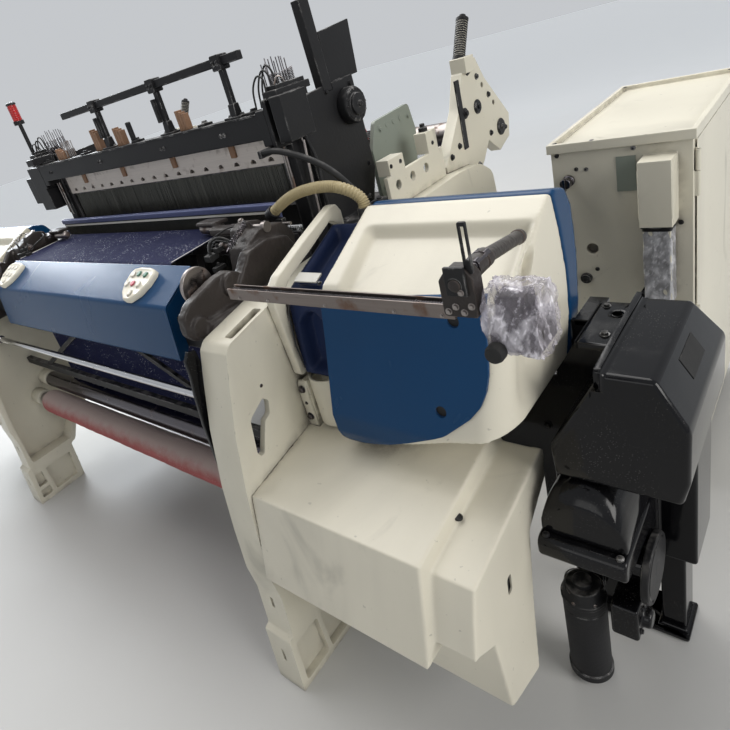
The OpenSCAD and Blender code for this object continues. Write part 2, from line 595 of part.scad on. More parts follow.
// Thread feeler bar in front of the right housing
bar_z = 1060;
pivot_x = 1404;
pivot_z = 1104;
module bar_bracket() color([0.12, 0.12, 0.12]) place() {
  // tube from the housing top towards the front
  hull() {
    translate([1384, 863, 1068.5]) rotate([90, 0, 0]) cylinder(h = 4, r = 13);
    translate([pivot_x, 704, pivot_z]) rotate([90, 0, 0]) cylinder(h = 4, r = 13);
  }
  rody(655, 702, pivot_x, pivot_z, 15);
  rody(604, 656, pivot_x, pivot_z, 9);
}
module feeler_bar() place() {
  color([0.5, 0.46, 0.43]) difference() {
    box([900, 612, bar_z - 12], [1392, 634, bar_z + 12]);
    box([899, 616, bar_z - 8], [1380, 630, bar_z + 13]);
  }
  color([0.14, 0.13, 0.13]) difference() {
    union() {
      box([1378, 610, bar_z - 6], [1430, 636, 1126]);
      box([1418, 612, 1120], [1430, 622, 1190]);
      box([1390, 606, 1088], [1421, 611, 1130]);
    }
    rody(600, 650, pivot_x, pivot_z, 9 + run_gap);
    box([1422, 611, 1136], [1426, 623, 1182]);
  }
}
// sensor box tied in clear film
module wrapped_sensor() color([0.8, 0.8, 0.84]) place() {
  yz(1430, 84) polygon([[604, 1000], [602, 1060], [616, 1098], [664, 1100], [684, 1070],
    [684, 1000], [650, 984]]);
  rody(592, 612, 1450, 1008, 14);
}
// the lever hangs on a short stud that stands on the inner face of the side frame
lever_y = 556;
lever_z = 700;
module front_lever() color([0.05, 0.05, 0.05]) place() difference() {
  union() {
    yz(fi - 20, 10) polygon([[520, 640], [534, 640], [556, 760], [566, 850], [582, 900], [580, 930],
      [560, 936], [546, 918], [544, 880], [536, 840], [526, 760]]);
    rodx(fi - 22, fi - 8, lever_y, lever_z, 16);
    yz(fi - 20, 10) polygon([[530, 690], [560, 684], [566, 716], [536, 720]]);
  }
  rodx(fi - 30, fi, lever_y, lever_z, 8 + run_gap);
}

// Shedding unit behind the right housing
module dobby_case() color([0.04, 0.04, 0.05]) place() {
  // lower body, set back below its rounded front edge to leave room for the motor
  difference() {
    union() {
      yz(dobby_x1, 158) polygon([[885, 300], [885, 440], [dobby_y1 + 25, 448], [dobby_y1 + 4, 456],
        [dobby_y1, 466], [dobby_y1, 486], [dobby_y1 + 5, 497], [dobby_y1 + 16, 502], [960, 506],
        [1000, 506], [1000, 300]]);
      rodx(dobby_x1 + 100, dobby_x1 + 158, wheel_hand_y, wheel_hand_z, 30);
      box([dobby_x1, 960, 300], [dobby_x2 - 20, dobby_y2, 624.7]);
    }
    rodx(dobby_x1 + 100, dobby_x1 + 160, wheel_hand_y, wheel_hand_z, 18 + run_gap);
  }
  // humped cover over the gear
  intersection() {
    rody(855, 962, 1440, 612, 105);
    box([dobby_x1 + 1, 850, 500], [dobby_x1 + 158, 962, 624.7]);
  }
  // bracket behind the motor
  box([dobby_x1 + 10, motor_y + motor_r, 240], [dobby_x1 + 70, 990, 310]);
  // legs, gear unit and the coupling beam towards the frame
  for (x = [dobby_x1 + 10, dobby_x2 - 100]) box([x, 1010, 14], [x + 50, 1090, 300]);
  box([dobby_x1, 990, 0], [dobby_x2 - 40, 1100, 14]);
  box([1496, 800, 212], [1548, 930, 300]);
  rodx(1540, 1566, 838, 250, 20);
  box([fo + 14, 1040, 480], [dobby_x1, 1095, 560]);
  box([fo, 1020, 440], [fo + 14, 1110, 600]);
}
wheel_hand_y = 865;
wheel_hand_z = 372;
module dobby_cover() color([0.03, 0.03, 0.035]) place() {
  // faceted hood
  intersection() {
    xz(dobby_y1 + 30, dobby_y2 - dobby_y1 - 30) polygon([[dobby_x1 + 30, 625],
      [dobby_x1 + 30, 700], [1514, 856], [1592, 856], [dobby_x2, 776], [dobby_x2, 680],
      [dobby_x2 - 12, 625]]);
    yz(dobby_x1, 300) polygon([[790, 620], [782, 680], [800, 860], [1072, 860], [dobby_y2, 776],
      [dobby_y2, 620]]);
  }
  // raised rib and the drilled plate beside it
  yz(1506, 8) polygon([[796, 830], [796, 866], [1070, 872], [1070, 830]]);
  difference() {
    box([pod_x2 + 40, 900, 838], [1508, 1072, 846]);
    rodz(830, 850, 1482, 1019, 9);
  }
  box([pod_x2 + 40, 1060, 740], [1508, 1072, 840]);
}
motor_x = 1434;
motor_y = 834;
motor_r = 44;
module drive_motor() color([0.06, 0.06, 0.06]) place() {
  rodz(34, 262, motor_x, motor_y, motor_r);
  rodz(262, 286, motor_x, motor_y, motor_r - 6);
  rodz(286, 300, motor_x, motor_y, 20);
  rodz(14, 34, motor_x, motor_y, motor_r + 3);
  for (a = [0:60:300]) rodz(262, 270, motor_x + 40 * cos(a), motor_y + 40 * sin(a), 3.5);
  rodz(0, 14, motor_x, motor_y, 30);
}
module handwheel() color([0.05, 0.05, 0.05]) place() {
  difference() {
    rodx(dobby_x1 + 159, dobby_x1 + 176, wheel_hand_y, wheel_hand_z, 72);
    rodx(dobby_x1 + 168, dobby_x1 + 177, wheel_hand_y, wheel_hand_z, 60);
  }
  rodx(dobby_x1 + 104, dobby_x1 + 172, wheel_hand_y, wheel_hand_z, 18);
}

// Control cabinet
cab_x2 = cab_x1 + cab_w;
cab_y2 = cab_y1 + cab_d;
module cabinet_body() color([0.85, 0.83, 0.77]) place() {
  difference() {
    box([cab_x1, cab_y1, 60], [cab_x2, cab_y2, cab_h - 24]);
    box([cab_x1 + 16, cab_y1 + 24, 78], [cab_x2 + 1, cab_y2 - 40, cab_h - 42]);
    rody(cab_y1 - 1, cab_y1 + 20, cab_x1 + 84, cab_h - 290, 15);
    rody(cab_y1 - 1, cab_y1 + 30, cab_x1 + 40, knob_z, knob_r + run_gap);
  }
  // top tray with raised rims
  difference() {
    box([cab_x1 - 8, cab_y1 - 8, cab_h - 24], [cab_x2 + 8, cab_y2 + 8, cab_h]);
    box([cab_x1 + 4, cab_y1 + 4, cab_h - 14], [cab_x2 - 4, cab_y2 - 4, cab_h + 1]);
  }
  for (x = [cab_x1 + 30, cab_x2 - 50], y = [cab_y1 + 30, cab_y2 - 70])
    box([x, y, 0], [x + 30, y + 40, 60]);
  // cable trunk that also ties the cabinet to the side frame
  box([fo, cab_y1 + 100, 420], [cab_x1 + 1, cab_y1 + 180, 500]);
  // cable box on the front wall
  box([cab_x1 + 214, cab_y1 - 62, cab_h - 210], [cab_x1 + 284, cab_y1, cab_h - 50]);
  // duct that hangs below the cable box
  box([cab_x1 + 218, cab_y1 - 50, cab_h - 420], [cab_x1 + 278, cab_y1 - 6, cab_h - 210]);
  // round socket and three screws
  rody(cab_y1 - 12, cab_y1 + 13, cab_x1 + 64, cab_h - 376, 12);
  for (p = [[16, 30], [16, 260], [194, 30]]) rody(cab_y1 - 4, cab_y1, cab_x1 + p[0], cab_h - p[1], 6);
  for (z = HINGES) {
    rodz(z, z + 60, cab_x2 + 7, cab_y1 + 10, 6);
    box([cab_x2 - 1, cab_y1 + 4, z], [cab_x2 + 7, cab_y1 + 14, z + 60]);
  }
}
// heights of the hinges of the cabinet door, and the height and spindle radius of its knob
HINGES = [200, cab_h / 2 - 30, cab_h - 160];
knob_z = cab_h - 98;
knob_r = 5;
module cabinet_door() color([0.85, 0.83, 0.77]) place() {
  box([cab_x2 + 0.3, cab_y1 + 18, 66], [cab_x2 + 5, cab_y2 - 10, cab_h - 30]);
  box([cab_x2 + 4, cab_y2 - 60, cab_h / 2 + 30], [cab_x2 + 12, cab_y2 - 40, cab_h / 2 + 110]);
  // knuckles and leaves of the hinges
  for (z = HINGES) {
    rodz(z + 60.4, z + 110, cab_x2 + 7, cab_y1 + 10, 6);
    box([cab_x2 + 1, cab_y1 + 10, z + 60.4], [cab_x2 + 5, cab_y1 + 20, z + 110]);
  }
}
module cabinet_knob() color([0.1, 0.1, 0.1]) place() {
  rody(cab_y1 - 34, cab_y1 - 0.4, cab_x1 + 40, knob_z, 15);
  rody(cab_y1 - 1, cab_y1 + 22, cab_x1 + 40, knob_z, knob_r);
  box([cab_x1 + 36, cab_y1 - 44, knob_z - 16], [cab_x1 + 44, cab_y1 - 34, knob_z + 16]);
}

// Warp side
module backrest_roller() color([0.6, 0.6, 0.62]) place() {
  rodx(-fi + 4, fi - 4, back_y, back_z, back_r);
  rodx(-fi - 30, fi + 30, back_y, back_z, 16);
}
module backrest_arm() {
  difference() {
    yz(fi + 6, 40) polygon([[1656, 969.7], [1656, 990], [1800, 1140], [1850, 1240], [1900, 1280],
      [1960, 1276], [2010, 1200], [2170, 1040], [2150, 960], [2060, 930], [1980, 990],
      [1920, 930], [1880, 905.3],
      [1800, 955.3]]);
    yz(fi + 5, 30) polygon([[1690, 976], [1810, 1080], [1850, 1060], [1845, 960], [1800, 972]]);
    yz(fi + 5, 30) polygon([[1880, 980], [1870, 1080], [1930, 1120], [1990, 1080], [1950, 1030]]);
    rodx(fi, fi + 60, back_y, back_z, 16 + run_gap);
    for (p = [[1890, 1240], [1925, 1250], [1950, 1215], [1985, 1180], [2020, 1140], [2055, 1105]])
      rodx(fi, fi + 60, p[0], p[1], 9);
  }
  // bent strip, clamp and the coil spring on its rod
  box([fi + 46, 1790, 1010], [fi + 50, 1816, 1230]);
  box([fi + 6, 1856, 1240], [fi + 62, 1920, 1290]);
  translate([fi + 24, 1888, 1280]) rotate([-30, 0, 0]) {
    cylinder(h = 152, r = 6);
    cylinder(h = 14, r = 20);
    translate([0, 0, 134]) cylinder(h = 6, r = 20);
    rotate_extrude() for (i = [0:15]) translate([16, 17 + i * 7.6]) circle(4, $fn = 24);
  }
}
module backrest_arms() color([0.82, 0.81, 0.75]) place() {
  backrest_arm();
  mirror([1, 0, 0]) backrest_arm();
  // yarn bracket with its brake block on the right frame
  difference() {
    box([fi + 36, 1320, 970], [fi + 50, 1640, 1064]);
    for (y = [1370, 1450, 1530]) rodx(fi + 30, fi + 60, y, 1030, 14);
  }
  box([fi + 6, 1340, 1064], [fi + 50, 1420, 1110]);
  box([fi + 6, 1560, 1064], [fi + 50, 1620, 1128]);
}
// warp stop motion: contact bars between two end plates
module stop_motion() place() {
  color([0.45, 0.48, 0.44]) for (s = [-1, 1]) yz(s * stop_half - 7, 14) polygon([[1440, 970],
    [1440, 1120], [1480, 1200], [1680, 1210], [1700, 1120], [1660, 970]]);
  color([0.7, 0.15, 0.15]) for (y = CONTACT_BARS) box([-stop_half, y - 4, 1130], [stop_half, y + 4, 1150]);
  color([0.3, 0.3, 0.3]) for (y = [1450, 1684]) rodx(-stop_half, stop_half, y, 1100, 10);
  color([0.5, 0.5, 0.5]) for (y = CONTACT_BARS) box([cloth_x1, y - 1, 1060], [-cloth_x1, y + 1, 1135]);
  color([0.3, 0.3, 0.3]) for (s = [-1, 1]) box([min(s * stop_half, s * (fi + 33)), 1540, 970],
    [max(s * stop_half, s * (fi + 33)), 1600, 990]);
}
// half the distance between the end plates of the stop motion, and where its bars lie
stop_half = fi - 75;
CONTACT_BARS = [for (i = [0:5]) 1480 + i * 32];
module warp_beam() color([0.72, 0.72, 0.7]) place() {
  rodx(105 - fi, fi - 105, beam_y, beam_z, warp_r);
  for (s = [-1, 1]) translate([s * (fi - 97), beam_y, beam_z]) rotate([0, 90, 0]) difference() {
    cylinder(h = 12, r = flange_r, center = true, $fn = 96);
    for (a = [0:45:330]) rotate(a) translate([flange_r - 40, 0, -10]) cylinder(h = 20, r = 14);
  }
  rodx(-fi - 80, fi + 80, beam_y, beam_z, beam_shaft_r);
  for (s = [-1, 1]) translate([s * (fi - 65), beam_y, beam_z]) rotate([0, 90, 0])
    cylinder(h = 60, r = 60, center = true);
}

// a hose bent in a plane of constant Y; route lists its (X, Z) points, sides is the count around it
module bent_hose(y, route, r, sides = 12) {
  n = len(route);
  function dir(i) = let (a = route[max(i - 1, 0)], b = route[min(i + 1, n - 1)]) (b - a) / norm(b - a);
  ring = [for (i = [0:n - 1], k = [0:sides - 1]) let (d = dir(i), a = 360 * k / sides)
    [route[i][0] - d[1] * r * cos(a), y + r * sin(a), route[i][1] + d[0] * r * cos(a)]];
  side = [for (i = [0:n - 2], k = [0:sides - 1]) let (m = (k + 1) % sides)
    [i * sides + k, i * sides + m, (i + 1) * sides + m, (i + 1) * sides + k]];
  polyhedron(ring, concat(side, [[for (k = [sides - 1:-1:0]) k],
    [for (k = [0:sides - 1]) (n - 1) * sides + k]]));
}
module suction_hose() color([0.8, 0.74, 0.55]) place() bent_hose(hose_y, [[683, 1098], [705, 1110],
  [730, 1122], [758, 1133], [788, 1141], [820, 1146], [855, 1149], [890, 1148], [918, 1143], [942, 1135],
  [960, 1125], [972, 1114], [976, 1104], [976, 1094.3]], 14);
module air_hose() color([0.06, 0.06, 0.06]) place() bent_hose(1020, [[676.3, 1243], [700, 1244],
  [730, 1241], [765, 1232], [800, 1220], [835, 1205], [868, 1187], [898, 1164], [922, 1140], [945, 1114],
  [965, 1087], [978, 1068], [993, 1046]], 8);

frame_right();
frame_left();
breast_beam();
rear_beam();
breast_cover();
panel_right();
panel_left();
button_1();
button_2();
button_3();
button_4();
button_5();
button_6();
button_7();
guard_tube();
takeup_roller();
press_roller();
cloth_roll();
cloth_web();
warp_sheet();
sley();
reed();
heald_frame_1();
heald_frame_2();
heald_frame_3();
heald_frame_4();
harness_beam();
upper_rail();
tower_right();
tower_left();
signal_lamp();
takeup_drive_right();
takeup_drive_left();
housing_right();
housing_left();
band_right();
recess_right();
door_right();
door_left();
lower_cover_right();
lower_cover_left();
rapier_wheel_right();
rapier_wheel_left();
feeler_bar();
bar_bracket();
wrapped_sensor();
front_lever();
dobby_case();
dobby_cover();
drive_motor();
handwheel();
cabinet_body();
cabinet_door();
cabinet_knob();
backrest_roller();
backrest_arms();
stop_motion();
warp_beam();
suction_hose();
air_hose();
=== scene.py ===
# %% [markdown]
# # Dressing a power loom
# The construction model already has every part of this weaving machine at its real size. It comes as
# plain triangles in one colour. This notebook gives it rounded edges, curved mouldings, thread, wires
# and worn paint, and never changes a dimension.

import json
import math
import random

import bmesh
import bpy
from mathutils import Matrix, Vector, noise

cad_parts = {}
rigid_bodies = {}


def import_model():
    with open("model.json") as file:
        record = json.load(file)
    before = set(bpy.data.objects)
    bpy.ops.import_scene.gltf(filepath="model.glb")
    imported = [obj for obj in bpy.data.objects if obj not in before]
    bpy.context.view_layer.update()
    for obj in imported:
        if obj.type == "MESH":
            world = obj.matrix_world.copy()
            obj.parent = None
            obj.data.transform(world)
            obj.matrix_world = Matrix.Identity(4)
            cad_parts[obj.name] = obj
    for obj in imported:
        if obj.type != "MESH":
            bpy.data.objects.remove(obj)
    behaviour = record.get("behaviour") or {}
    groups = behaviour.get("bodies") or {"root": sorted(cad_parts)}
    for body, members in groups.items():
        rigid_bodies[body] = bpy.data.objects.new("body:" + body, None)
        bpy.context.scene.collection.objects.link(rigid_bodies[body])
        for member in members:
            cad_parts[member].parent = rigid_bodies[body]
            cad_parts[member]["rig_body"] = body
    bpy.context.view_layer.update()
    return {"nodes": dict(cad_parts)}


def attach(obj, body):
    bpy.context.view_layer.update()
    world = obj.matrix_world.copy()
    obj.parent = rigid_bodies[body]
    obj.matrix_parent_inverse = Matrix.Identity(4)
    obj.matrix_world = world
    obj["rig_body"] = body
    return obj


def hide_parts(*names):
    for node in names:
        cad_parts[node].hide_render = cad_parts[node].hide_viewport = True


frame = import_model()
NODES = frame["nodes"]

# %% [markdown]
# ## One way to say where things are
# The loom is measured in millimetres: x from the middle between its side frames, y from a line in
# front of it and z from the floor. It is easier to keep those numbers here and to shift each point
# into the shared frame in one place. `ORIGIN` is where the shared frame starts, in those millimetres.

# %% Millimetres of the loom to metres of the frame
ORIGIN = Vector((120, 1311, 0))


def mm(x, y, z):
    return Vector(((x - ORIGIN.x) / 1000, (y - ORIGIN.y) / 1000, z / 1000))


def body_of(node):
    return NODES[node]["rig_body"]


def placed(name, data):
    """A new object at the origin of the scene."""
    made = bpy.data.objects.new(name, data)
    bpy.context.scene.collection.objects.link(made)
    return made


print("the loom's millimetres start at", mm(0, 0, 0))

# %% [markdown]
# ## The camera
# The picture was taken from the front right corner, at eye height, looking down along the machine.
# The three vectors are the camera's right, up and back directions. The small shift puts the optical
# axis where the photograph has it.

# %% Camera
RIGHT = Vector((0.7421, 0.6145, -0.2679))
UP = Vector((-0.0818, 0.4797, 0.8736))
BACK = Vector((0.6653, -0.6263, 0.4062))
camera = placed("camera", bpy.data.cameras.new("camera"))
turn = Matrix((RIGHT, UP, BACK)).transposed().to_4x4()
camera.matrix_world = Matrix.Translation((1.659, -1.311, 1.42)) @ turn
camera.data.sensor_width = 36
camera.data.lens = 28.02
camera.data.shift_x = 0.0616
camera.data.shift_y = -0.0616
camera.data.clip_end = 100
bpy.context.scene.camera = camera
bpy.context.scene.view_settings.view_transform = "Standard"
print("camera at", [round(v, 2) for v in camera.location])

# %% [markdown]
# ## Node trees written as Python
# Materials and Geometry Nodes are both trees of nodes. `Val` wraps one output socket, so that an
# expression such as `1 - dust * 0.5` adds the Math nodes by itself. `Net` adds every other node with
# one method: its type, its settings and then what goes into its sockets.

# %% Sockets that can be added and multiplied
class Val:
    def __init__(self, net, socket):
        self.net = net
        self.socket = socket

    def math(self, operation, a, b=0.0):
        return self.net.node("ShaderNodeMath", {"operation": operation}, {0: a, 1: b})

    def __add__(self, other):
        return self.math("ADD", self, other)

    def __radd__(self, other):
        return self.math("ADD", other, self)

    def __sub__(self, other):
        return self.math("SUBTRACT", self, other)

    def __rsub__(self, other):
        return self.math("SUBTRACT", other, self)

    def __mul__(self, other):
        return self.math("MULTIPLY", self, other)

    def __rmul__(self, other):
        return self.math("MULTIPLY", other, self)

    def sin(self):
        return self.math("SINE", self)

    def most(self, other):
        return self.math("MAXIMUM", self, other)


class Net:
    def __init__(self, tree):
        self.tree = tree

    def node(self, kind, settings=None, sockets=None, out=0):
        made = self.tree.nodes.new(kind)
        for key, value in (settings or {}).items():
            setattr(made, key, value)
        for key, value in (sockets or {}).items():
            if isinstance(value, Val):
                self.tree.links.new(value.socket, made.inputs[key])
            else:
                made.inputs[key].default_value = value
        return Val(self, made.outputs[out])


# %% [markdown]
# ## Finishes
# Paint on a mill floor is never one flat colour. `Finish` starts from the Principled shader and adds
# the masks that the loom needs: soft clouds, painted shade with grime where two surfaces meet (from
# ambient occlusion), worn edges and settled dust. Patterns read Object coordinates, so they stay on
# the metal when a part moves.

# %% The finish builder
FINISHES = {}


def rgba(color, gain=1.0, lift=0.0):
    """A colour for a socket, made lighter or darker by gain and lift."""
    return (*(c * gain + lift for c in color), 1.0)


class Finish(Net):
    def __init__(self, name, color, rough, metal=0.0, **fixed):
        self.material = bpy.data.materials.new(name)
        self.material.use_nodes = True
        super().__init__(self.material.node_tree)
        self.shader = self.tree.nodes["Principled BSDF"]
        self.shader.inputs["Base Color"].default_value = rgba(color)
        self.shader.inputs["Roughness"].default_value = rough
        self.shader.inputs["Metallic"].default_value = metal
        self.material.diffuse_color = rgba(color)
        for key, value in fixed.items():
            self.shader.inputs[key.replace("_", " ")].default_value = value
        self.place = self.node("ShaderNodeTexCoord", out=3)
        FINISHES[name] = self.material

    def grain(self, scale, detail, stretch=(1, 1, 1), twist=0.0):
        drawn = self.node("ShaderNodeMapping", None, {"Vector": self.place, "Scale": stretch})
        sockets = {"Vector": drawn, "Scale": scale, "Detail": detail, "Distortion": twist}
        return self.node("ShaderNodeTexNoise", None, sockets)

    def cells(self, scale):
        return self.node("ShaderNodeTexVoronoi", None, {"Vector": self.place, "Scale": scale})

    def axis(self, letter):
        number = "XYZ".index(letter)
        return self.node("ShaderNodeSeparateXYZ", None, {0: self.place}, out=number)

    def between(self, value, low, high):
        settings = {"interpolation_type": "SMOOTHSTEP"}
        return self.node("ShaderNodeMapRange", settings, {0: value, 1: low, 2: high})

    def mix(self, a, b, factor):
        return self.node("ShaderNodeMix", {"data_type": "RGBA"}, {0: factor, 6: a, 7: b}, out=2)

    def facing_up(self):
        normal = self.node("ShaderNodeNewGeometry", out=1)
        return self.node("ShaderNodeSeparateXYZ", None, {0: normal}, out=2)

    def worn_edges(self, radius):
        flat = self.node("ShaderNodeNewGeometry", out=1)
        soft = self.node("ShaderNodeBevel", {"samples": 4}, {0: radius})
        same = self.node("ShaderNodeVectorMath", {"operation": "DOT_PRODUCT"}, {0: flat, 1: soft}, out=1)
        return self.between(1 - same, 0.01, 0.12)

    # Painted shade: one minus ambient occlusion, high where surfaces meet and shade falls.
    def corners(self, distance):
        shade = self.node("ShaderNodeAmbientOcclusion", {"samples": 4}, {"Distance": distance}, out=1)
        return 1 - shade

    def bump(self, height, depth):
        return self.node("ShaderNodeBump", None, {"Height": height, "Distance": depth})

    def set(self, **links):
        for key, value in links.items():
            self.tree.links.new(value.socket, self.shader.inputs[key.replace("_", " ")])


print("finish builder ready")

# %% [markdown]
# ### Painted castings and mouldings
# The cream and blue covers are sprayed and oven cured: smooth, slightly orange-peeled, with grey
# finger marks, painted shade as brown grime in the corners and tiny chips at the edges.

# %% Painted surfaces
# colour of the painted shade, mixed with dirt, in corners and recesses
DIRT_AND_SHADE = (0.075, 0.055, 0.038)
CHIP = (0.10, 0.085, 0.07)
ORANGE_PEEL = 0.00012


def painted(name, color, rough, grime_and_shade=0.5, marks=0.25, chips=0.5, coat=0.0, gloss=0.4):
    made = Finish(name, color, rough, Coat_Weight=coat, Coat_Roughness=0.12, Specular_IOR_Level=gloss)
    cloud = made.grain(2.3, 4)
    shade = made.mix(rgba(color, 0.84), rgba(color, 1.06), cloud)
    stain = made.between(made.grain(1.7, 6, (1, 1, 0.35), 1.0), 0.52, 0.74) * grime_and_shade * 0.32
    shade = made.mix(shade, rgba(color, 0.50), stain)
    smear = made.between(made.grain(5.5, 5, (1, 1, 0.5), 1.5), 0.60, 0.78) * marks
    speck = made.between(made.grain(75, 2), 0.72, 0.78) * marks
    shade = made.mix(shade, rgba(color, 0.45, 0.02), smear.most(speck))
    # painted shade: ambient occlusion darkens corners and recesses towards the dirt colour, broken up by
    # noise
    corner = made.between(made.corners(0.055), 0.28, 0.90)
    shade_and_dirt = corner * made.between(made.grain(22, 4), 0.30, 0.62) * grime_and_shade
    shade = made.mix(shade, rgba(DIRT_AND_SHADE), shade_and_dirt)
    chip = made.worn_edges(0.003) * made.between(made.grain(60, 3), 0.60, 0.66) * chips
    shade = made.mix(shade, rgba(CHIP), chip)
    made.set(Base_Color=shade, Roughness=rough + smear * 0.25 + shade_and_dirt * 0.3)
    skin = made.grain(420, 2) + made.grain(60, 2) * 1.5 - chip * 3
    made.set(Normal=made.bump(skin, ORANGE_PEEL))


painted("cream_paint", (0.72, 0.685, 0.57), 0.38, grime_and_shade=1.0, marks=0.6)
painted("cream_plastic", (0.76, 0.72, 0.60), 0.34, grime_and_shade=0.9, marks=0.5, chips=0.25)
painted("blue_paint", (0.006, 0.050, 0.138), 0.27, grime_and_shade=0.35, marks=0.12, chips=0.25, coat=0.03, gloss=0.14)
painted("navy_paint", (0.017, 0.029, 0.082), 0.33, grime_and_shade=0.3, marks=0.15, chips=0.3, coat=0.02, gloss=0.15)
painted("ivory_button", (0.72, 0.68, 0.58), 0.3, chips=0.0)
painted("pink_button", (0.55, 0.10, 0.13), 0.3, chips=0.0)
painted("green_button", (0.02, 0.14, 0.07), 0.3, chips=0.0)
painted("black_button", (0.02, 0.02, 0.022), 0.3, chips=0.0)
painted("stop_motion_paint", (0.50, 0.055, 0.05), 0.35)
painted("grey_plate", (0.24, 0.27, 0.23), 0.4)
painted("blank_label", (0.62, 0.61, 0.56), 0.4, chips=0.0)
painted("old_wood", (0.30, 0.17, 0.10), 0.6)
print(len(FINISHES), "painted finishes")

# %% [markdown]
# ### Iron and steel
# Black paint on the beams has rubbed through to silver along its edges and holds grey fluff on top.
# The take-up gears are oily cast iron. Rollers and bars are bare steel, drawn along their length.

# %% Metals
RUST = (0.105, 0.050, 0.026)
# colour of the painted shade, mixed with grease, in corners
GREASE_AND_SHADE = (0.02, 0.017, 0.014)
FLUFF = (0.24, 0.23, 0.22)


def metal(name, color, rough, drawn=(1, 60, 60), rust=0.0, shine=1.0):
    made = Finish(name, color, rough, metal=shine)
    lines = made.grain(8, 4, drawn)
    shade = made.mix(rgba(color, 0.72), rgba(color), lines)
    spots = made.between(made.grain(26, 5), 0.56, 0.70) * rust
    # painted shade: ambient occlusion darkens corners towards the grease colour and makes them less metallic
    grime_and_shade = made.between(made.corners(0.03), 0.3, 0.9) * made.between(made.grain(30, 4), 0.3, 0.6)
    shade = made.mix(shade, rgba(RUST), spots)
    shade = made.mix(shade, rgba(GREASE_AND_SHADE), grime_and_shade * 0.7)
    made.set(Base_Color=shade, Roughness=rough * 0.8 + lines * rough * 0.4 + spots * 0.35)
    made.set(Metallic=shine - (spots + grime_and_shade * 0.6) * shine * 0.9, Normal=made.bump(lines + spots, 0.00015))


def blackened(name, color, rough, dust, wear=0.9, bare=(0.42, 0.41, 0.40), depth=0.0004):
    made = Finish(name, color, rough, Specular_IOR_Level=0.22)
    cloud = made.grain(9, 5)
    shade = made.mix(rgba(color, 0.6), rgba(color, 1.7), cloud)
    fluff = made.between(made.facing_up(), 0.45, 0.9) * made.between(made.grain(34, 5), 0.42, 0.68) * dust
    shade = made.mix(shade, rgba(FLUFF), fluff)
    worn = made.worn_edges(0.004) * made.between(made.grain(24, 4), 0.46, 0.60) * wear
    shade = made.mix(shade, rgba(bare), worn)
    made.set(Base_Color=shade, Metallic=worn, Roughness=rough + cloud * 0.2 - worn * 0.2 + fluff * 0.3)
    made.set(Normal=made.bump(made.grain(130, 3) - worn, depth))


metal("polished_steel", (0.66, 0.66, 0.68), 0.16)
metal("dark_steel", (0.14, 0.13, 0.14), 0.22, rust=0.2)
metal("worn_steel", (0.33, 0.30, 0.285), 0.30, rust=0.8)
metal("rusty_bar", (0.21, 0.18, 0.165), 0.30, rust=0.9)
metal("heald_aluminium", (0.80, 0.73, 0.67), 0.50, rust=0.35, shine=0.05)
metal("reed_metal", (0.11, 0.13, 0.27), 0.33, shine=0.4)
metal("wire", (0.085, 0.085, 0.075), 0.40, (45, 45, 0.4), shine=0.6)
blackened("black_paint", (0.011, 0.011, 0.012), 0.38, 0.55)
blackened("sley_grey", (0.045, 0.042, 0.044), 0.42, 0.35)
blackened("oily_iron", (0.030, 0.025, 0.023), 0.30, 0.25, 0.45, bare=(0.28, 0.22, 0.19), depth=0.0011)
blackened("rubber", (0.018, 0.018, 0.018), 0.55, 0.3, wear=0.0)
blackened("hose_black", (0.016, 0.016, 0.016), 0.42, 0.25, wear=0.0)
print(len(FINISHES), "finishes so far")

# %% [markdown]
# ### Gloss black, thread, film and lamp
# The shedding unit wears thick gloss enamel with dust specks. Thread and cloth need a soft sheen and
# a weave in the bump. Clear film is mostly see-through, with milky creases that catch the light.

# %% Special finishes
ENAMEL = (0.004, 0.004, 0.005)
DUST = (0.14, 0.135, 0.13)
LINT = (0.55, 0.55, 0.6)
PALE_TOP = (0.50, 0.43, 0.40)


def gloss_black():
    made = Finish("gloss_black", ENAMEL, 0.10, Coat_Weight=0.05, Specular_IOR_Level=0.22)
    specks = made.between(made.cells(260), 0.16, 0.10) * made.between(made.grain(7, 4), 0.42, 0.62)
    haze = made.between(made.facing_up(), 0.3, 0.95) * made.between(made.grain(11, 5), 0.45, 0.72)
    shade = made.mix(rgba(ENAMEL), rgba(DUST), specks.most(haze * 0.06))
    made.set(Base_Color=shade, Roughness=0.09 + haze * 0.30 + specks * 0.4)
    made.set(Normal=made.bump(made.grain(40, 2), ORANGE_PEEL))


def woven(name, warp, weft, threads, sheen, lint, dusty=0):
    made = Finish(name, warp, 0.75, Sheen_Weight=sheen, Sheen_Roughness=0.4, Specular_IOR_Level=0.1)
    along = (made.axis("X") * threads).sin()
    across = ((made.axis("Y") + made.axis("Z") * 1.3) * threads).sin()
    weave = along * across
    shade = made.mix(rgba(warp), rgba(weft), made.between(weave, -0.6, 0.8))
    band = made.grain(3, 3, (1, 14, 14))
    shade = made.mix(shade, rgba(warp, 1.7, 0.01), made.between(band, 0.52, 0.75) * 0.5)
    fluff = made.between(made.cells(120), 0.26, 0.14) * made.between(made.grain(13, 4), 0.44, 0.62) * lint
    shade = made.mix(shade, rgba(LINT), fluff)
    if dusty:
        # the colour turns paler above a given height, with a noisy edge
        top = made.between(made.axis("Z") + made.grain(30, 4) * 0.03, dusty, dusty + 0.045)
        shade = made.mix(shade, rgba(PALE_TOP), top * 0.85)
    made.set(Base_Color=shade)
    made.set(Normal=made.bump(weave + made.grain(50, 3), 0.0003))


